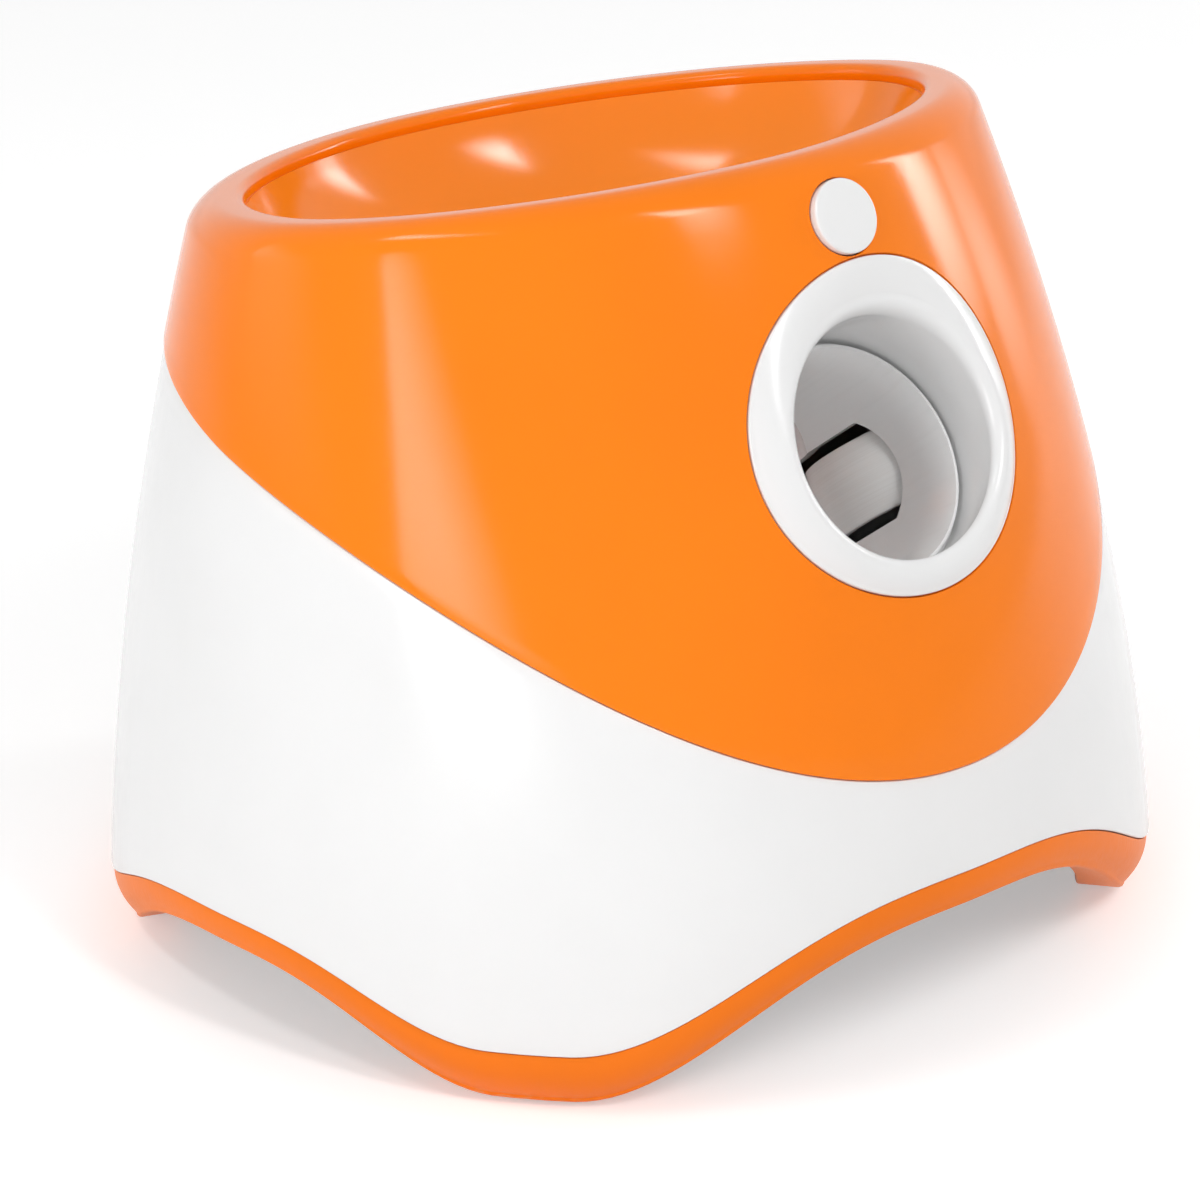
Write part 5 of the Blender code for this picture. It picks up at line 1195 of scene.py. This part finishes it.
def wheel_urethane():
    """Pale cast urethane of the launch wheels, with ground lines and rubs round their treads."""
    material, tree, shader = start_finish("wheel_urethane", (0.93, 0.93, 0.92), 0.24, gloss=0.4)
    lines = speckle(tree, (0.030, 0.00035, 0.030), BORE_LEAN)
    colours = (0.35, (0.91, 0.905, 0.89)), (0.60, (0.95, 0.95, 0.94))
    tree.links.new(tint(tree, lines, *colours), shader.inputs["Base Color"])
    tree.links.new(spread(tree, lines, 0.27, 0.20), shader.inputs["Roughness"])
    emboss(tree, shader, lines, 0.000004)
    emboss(tree, shader, speckle(tree, 0.0008), 0.000006)
    return material


def foot_rubber():
    """Black rubber of the foot pads, dusty in its pores."""
    material, tree, shader = start_finish("foot_rubber", (0.03, 0.03, 0.03), 0.75, gloss=0.3)
    pores = speckle(tree, 0.0006)
    colours = (0.45, (0.026, 0.026, 0.026)), (0.75, (0.075, 0.072, 0.068))
    tree.links.new(tint(tree, pores, *colours), shader.inputs["Base Color"])
    tree.links.new(spread(tree, pores, 0.65, 0.85), shader.inputs["Roughness"])
    emboss(tree, shader, pores, 0.00003)
    return material


def drawn_metal(name, colour, roughness, lines, angle=0.0):
    """Metal with fine working lines and handling haze."""
    material, tree, shader = start_finish(name, colour, roughness, metallic=1.0)
    marks = speckle(tree, lines, angle, detail=4.0)
    haze = speckle(tree, 0.0040)
    colours = (0.35, shaded(colour, 0.88)), (0.65, shaded(colour, 1.06))
    tree.links.new(tint(tree, haze, *colours), shader.inputs["Base Color"])
    dullness = spread(tree, marks, roughness - 0.08, roughness + 0.10)
    tree.links.new(dullness, shader.inputs["Roughness"])
    emboss(tree, shader, marks, 0.000004)
    return material


def turned_steel():
    """Bright steel of the shafts, motor cans, pins and screws, with its turning lines."""
    colour = (0.60, 0.60, 0.61)
    lines = (0.010, 0.00018, 0.010)
    return drawn_metal("turned_steel", colour, roughness=0.28, lines=lines, angle=BORE_LEAN)


def spring_steel():
    """Rolled steel strip and drawn wire of the battery contacts and the button's spring."""
    lines = (0.00020, 0.012, 0.0020)
    return drawn_metal("spring_steel", (0.64, 0.63, 0.60), roughness=0.24, lines=lines)


def cut_brass():
    """Brass of the gate's pinion."""
    lines = (0.006, 0.00016, 0.006)
    return drawn_metal("cut_brass", (0.72, 0.50, 0.20), roughness=0.30, lines=lines)


def circuit_board():
    """Green solder mask over copper runs, tinned pads, and dark bodies above the board's face."""
    material, tree, shader = start_finish("circuit_board", (0.02, 0.20, 0.06), 0.35, gloss=0.5)
    runs = shader_node(
        tree,
        "TexBrick",
        {
            "Vector": place_of(tree, (0.010, 0.010, 0.010)),
            "Color1": (0.012, 0.150, 0.045, 1.0),
            "Color2": (0.014, 0.170, 0.050, 1.0),
            "Mortar": (0.040, 0.300, 0.090, 1.0),
            "Scale": 4.0,
            "Mortar Size": 0.05,
        },
    )
    cells = {"Vector": place_of(tree, (0.0026, 0.0026, 0.0026)), "Scale": 1.0}
    dots = shader_node(tree, "TexVoronoi", cells).outputs["Distance"]
    pads = spread(tree, dots, 1.0, 0.0, 0.18, 0.22)
    colour = overlay(tree, pads, runs.outputs["Color"], (0.55, 0.55, 0.52))
    height = coordinate(tree, "Z")
    above = spread(tree, height, 0.0, 1.0, BOARD_FACE, BOARD_FACE + GAP)
    below = spread(tree, height, 1.0, 0.0, BOARD_PARTS_TOP, BOARD_PARTS_TOP + GAP)
    bodies = maths(tree, "MULTIPLY", above, below)
    tree.links.new(overlay(tree, bodies, colour, (0.03, 0.03, 0.032)), shader.inputs["Base Color"])
    tree.links.new(spread(tree, speckle(tree, 0.0015), 0.28, 0.42), shader.inputs["Roughness"])
    emboss(tree, shader, runs.outputs["Fac"], 0.00003)
    return material


def cell_sleeve():
    """Shrunk sleeve of a cell in two colours, with its bare steel ends."""
    material, tree, shader = start_finish("cell_sleeve", (0.10, 0.12, 0.30), 0.30)
    facing = maths(tree, "ABSOLUTE", coordinate(tree, "X", "Normal"))
    ends = spread(tree, facing, 0.0, 1.0, 0.6, 0.7)
    reach = maths(tree, "ABSOLUTE", coordinate(tree, "X"))
    band = spread(tree, reach, 0.0, 1.0, CELL_BAND, CELL_BAND + GAP)
    wrinkles = speckle(tree, (0.0100, 0.0012, 0.0012), detail=4.0)
    sleeve = tint(tree, wrinkles, (0.35, (0.020, 0.026, 0.075)), (0.65, (0.032, 0.040, 0.105)))
    sleeve = overlay(tree, band, sleeve, (0.55, 0.30, 0.10))
    tree.links.new(overlay(tree, ends, sleeve, (0.62, 0.62, 0.60)), shader.inputs["Base Color"])
    tree.links.new(spread(tree, wrinkles, 0.24, 0.36), shader.inputs["Roughness"])
    tree.links.new(ends, shader.inputs["Metallic"])
    emboss(tree, shader, wrinkles, 0.00002)
    return material


FINISHES = {
    recipe.__name__: recipe
    for recipe in (
        housing_gloss,
        bowl_gloss_painted_light,
        trim_satin,
        shell_gloss,
        bezel_satin,
        barrel_white_painted_light,
        grey_matt,
        black_matt,
        wheel_urethane,
        foot_rubber,
        turned_steel,
        spring_steel,
        cut_brass,
        circuit_board,
        cell_sleeve,
    )
}


def finish(name):
    """The finish of that name, made the first time it is asked for."""
    return bpy.data.materials.get(name) or FINISHES[name]()


def dress(name, *nodes):
    """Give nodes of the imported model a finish."""
    for node in nodes:
        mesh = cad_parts[node].data
        mesh.materials.clear()
        mesh.materials.append(finish(name))


class LAUNCHER_OT_add_housing(bpy.types.Operator):
    """Add the orange upper shell"""

    bl_idname = "launcher.add_housing"
    bl_label = "Housing shell"

    def execute(self, context):
        stand_in(make_top_housing(), "top_housing", "casing", "housing_gloss")
        return {"FINISHED"}


class LAUNCHER_OT_add_bowl(bpy.types.Operator):
    """Add the bowl that feeds the barrel"""

    bl_idname = "launcher.add_bowl"
    bl_label = "Hopper bowl"

    def execute(self, context):
        stand_in(make_hopper_bowl(), "hopper_bowl", "casing", "bowl_gloss_painted_light")
        return {"FINISHED"}


class LAUNCHER_OT_add_skirt(bpy.types.Operator):
    """Add the white lower shell"""

    bl_idname = "launcher.add_skirt"
    bl_label = "Skirt shell"

    def execute(self, context):
        stand_in(make_lower_shell(), "lower_shell", "casing", "shell_gloss")
        return {"FINISHED"}


class LAUNCHER_OT_add_trim(bpy.types.Operator):
    """Add the orange band with the feet, and its rubber pads"""

    bl_idname = "launcher.add_trim"
    bl_label = "Base trim and pads"

    def execute(self, context):
        stand_in(make_base_trim(), "base_trim", "casing", "trim_satin")
        for name, place in foot_places():
            pad = make_foot_pad(name, place)
            stand_in(pad, "foot_pad_" + name, "casing", "foot_rubber")
        return {"FINISHED"}


class LAUNCHER_OT_add_bezel(bpy.types.Operator):
    """Add the ring round the launch opening"""

    bl_idname = "launcher.add_bezel"
    bl_label = "Exit bezel"

    def execute(self, context):
        stand_in(make_exit_bezel(), "exit_bezel", "casing", "bezel_satin")
        return {"FINISHED"}


class LAUNCHER_OT_add_barrel(bpy.types.Operator):
    """Add the launch barrel"""

    bl_idname = "launcher.add_barrel"
    bl_label = "Launch barrel"

    def execute(self, context):
        stand_in(make_launch_barrel(), "launch_barrel", "casing", "barrel_white_painted_light")
        return {"FINISHED"}


class LAUNCHER_OT_add_wheels(bpy.types.Operator):
    """Add the two launch wheels"""

    bl_idname = "launcher.add_wheels"
    bl_label = "Launch wheels"

    def execute(self, context):
        for side, name in ((-1, "wheel_left"), (1, "wheel_right")):
            stand_in(make_wheel(side), name, name, "wheel_urethane")
        return {"FINISHED"}


class LAUNCHER_OT_add_button(bpy.types.Operator):
    """Add the push button, and the spring that it squeezes"""

    bl_idname = "launcher.add_button"
    bl_label = "Push button"

    def execute(self, context):
        stand_in(make_button(), "button", "button", "shell_gloss")
        spring = make_button_spring()
        stand_in(spring, "button_spring", "casing", "spring_steel")
        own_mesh(spring)
        return {"FINISHED"}


class LAUNCHER_OT_add_jack(bpy.types.Operator):
    """Add the power jack"""

    bl_idname = "launcher.add_jack"
    bl_label = "Power jack"

    def execute(self, context):
        stand_in(make_power_jack(), "power_jack", "casing", "black_matt")
        return {"FINISHED"}


class LAUNCHER_OT_add_screws(bpy.types.Operator):
    """Add the four screws of the bottom cover"""

    bl_idname = "launcher.add_screws"
    bl_label = "Cover screws"

    def execute(self, context):
        for name in ("left_front", "left_rear", "right_front", "right_rear"):
            node = "cover_screw_" + name
            screw = make_cover_screw("screw_" + name, node)
            stand_in(screw, node, "casing", "turned_steel")
        return {"FINISHED"}


class LAUNCHER_OT_dress_feed(bpy.types.Operator):
    """Finish the chute, the release gate with its drive, and the sensing lever with its switch"""

    bl_idname = "launcher.dress_feed"
    bl_label = "Feed and gate finishes"

    def execute(self, context):
        dress("grey_matt", "feed_chute", "release_gate")
        dress("cut_brass", "gate_pinion")
        dress("turned_steel", "gate_pin", "gate_motor", "sensor_pin")
        dress("black_matt", "sensor_lever", "sensor_switch")
        return {"FINISHED"}


class LAUNCHER_OT_dress_drive(bpy.types.Operator):
    """Finish the chassis, the wheel motors and their shafts"""

    bl_idname = "launcher.dress_drive"
    bl_label = "Wheel drive finishes"

    def execute(self, context):
        dress("grey_matt", "launcher_chassis")
        dress("turned_steel", "drive_motor_left", "drive_motor_right")
        dress("turned_steel", "wheel_shaft_left", "wheel_shaft_right")
        return {"FINISHED"}


class LAUNCHER_OT_dress_battery_bay(bpy.types.Operator):
    """Finish the bottom cover, the battery door, the tray, the cells and their contacts"""

    bl_idname = "launcher.dress_battery_bay"
    bl_label = "Battery bay finishes"

    def execute(self, context):
        dress("grey_matt", "bottom_cover", "battery_door")
        dress("black_matt", "battery_tray")
        dress("cell_sleeve", *["cell_" + str(number) for number in range(1, 7)])
        dress("spring_steel", "battery_contact_left", "battery_contact_right")
        return {"FINISHED"}


class LAUNCHER_OT_dress_boards(bpy.types.Operator):
    """Finish the control board, the sounder and the button's board"""

    bl_idname = "launcher.dress_boards"
    bl_label = "Board finishes"

    def execute(self, context):
        dress("circuit_board", "control_board", "button_board")
        dress("black_matt", "sounder")
        return {"FINISHED"}


class LAUNCHER_OT_set_stage(bpy.types.Operator):
    """Set up the floor, the lamps and the camera"""

    bl_idname = "launcher.set_stage"
    bl_label = "Stage"

    def execute(self, context):
        stage = context.scene.launcher_stage
        camera = bpy.data.objects.new("camera", bpy.data.cameras.new("camera"))
        context.scene.collection.objects.link(camera)
        camera.data.sensor_width = 36.0
        camera.data.lens = stage.lens
        turn = Matrix.Rotation(stage.turn, 4, "Z")
        rise = Matrix.Rotation(math.pi / 2 - stage.rise, 4, "X")
        roll = Matrix.Rotation(stage.roll, 4, "Z")
        camera.matrix_world = Matrix.Translation(stage.place) @ (turn @ rise) @ roll
        context.scene.camera = camera

        shape = bmesh.new()
        bmesh.ops.create_grid(shape, x_segments=1, y_segments=1, size=FLOOR_REACH)
        floor = keep_mesh("floor", shape)
        floor.data.materials.append(floor_white())
        for name, values in LAMPS.items():
            hang_lamp(name, *values[:-1], values[-1] * stage.light)
        context.scene.world = studio_world(stage.ambient)
        context.scene.view_settings.view_transform = "Standard"
        return {"FINISHED"}


class LAUNCHER_PT_panel(bpy.types.Panel):
    """Sizes, colours and pieces of the launcher"""

    bl_idname = "LAUNCHER_PT_panel"
    bl_label = "Launcher"
    bl_space_type = "VIEW_3D"
    bl_region_type = "UI"
    bl_category = "Launcher"

    def draw(self, context):
        layout = self.layout
        for group in (context.scene.launcher_colours, context.scene.launcher_stage):
            box = layout.box()
            for name in group.bl_rna.properties.keys():
                if name not in ("name", "rna_type"):
                    box.prop(group, name)
        for operator in OPERATORS:
            layout.operator(operator.bl_idname)


GROUPS = (LauncherColours, LauncherStage)
OPERATORS = (
    LAUNCHER_OT_add_housing,
    LAUNCHER_OT_add_bowl,
    LAUNCHER_OT_add_skirt,
    LAUNCHER_OT_add_trim,
    LAUNCHER_OT_add_bezel,
    LAUNCHER_OT_add_barrel,
    LAUNCHER_OT_add_wheels,
    LAUNCHER_OT_add_button,
    LAUNCHER_OT_add_jack,
    LAUNCHER_OT_add_screws,
    LAUNCHER_OT_dress_feed,
    LAUNCHER_OT_dress_drive,
    LAUNCHER_OT_dress_battery_bay,
    LAUNCHER_OT_dress_boards,
    LAUNCHER_OT_set_stage,
)


def register():
    """Add the classes, and the scene's settings."""
    for part in (*GROUPS, *OPERATORS, LAUNCHER_PT_panel):
        bpy.utils.register_class(part)
    bpy.types.Scene.launcher_colours = bpy.props.PointerProperty(type=LauncherColours)
    bpy.types.Scene.launcher_stage = bpy.props.PointerProperty(type=LauncherStage)


def unregister():
    """Take them away again."""
    del bpy.types.Scene.launcher_stage
    del bpy.types.Scene.launcher_colours
    for part in reversed((*GROUPS, *OPERATORS, LAUNCHER_PT_panel)):
        bpy.utils.unregister_class(part)


def main():
    """Make every piece in order."""
    register()
    for operator in OPERATORS:
        group, name = operator.bl_idname.split(".")
        getattr(getattr(bpy.ops, group), name)()


if __name__ == "__main__":
    main()
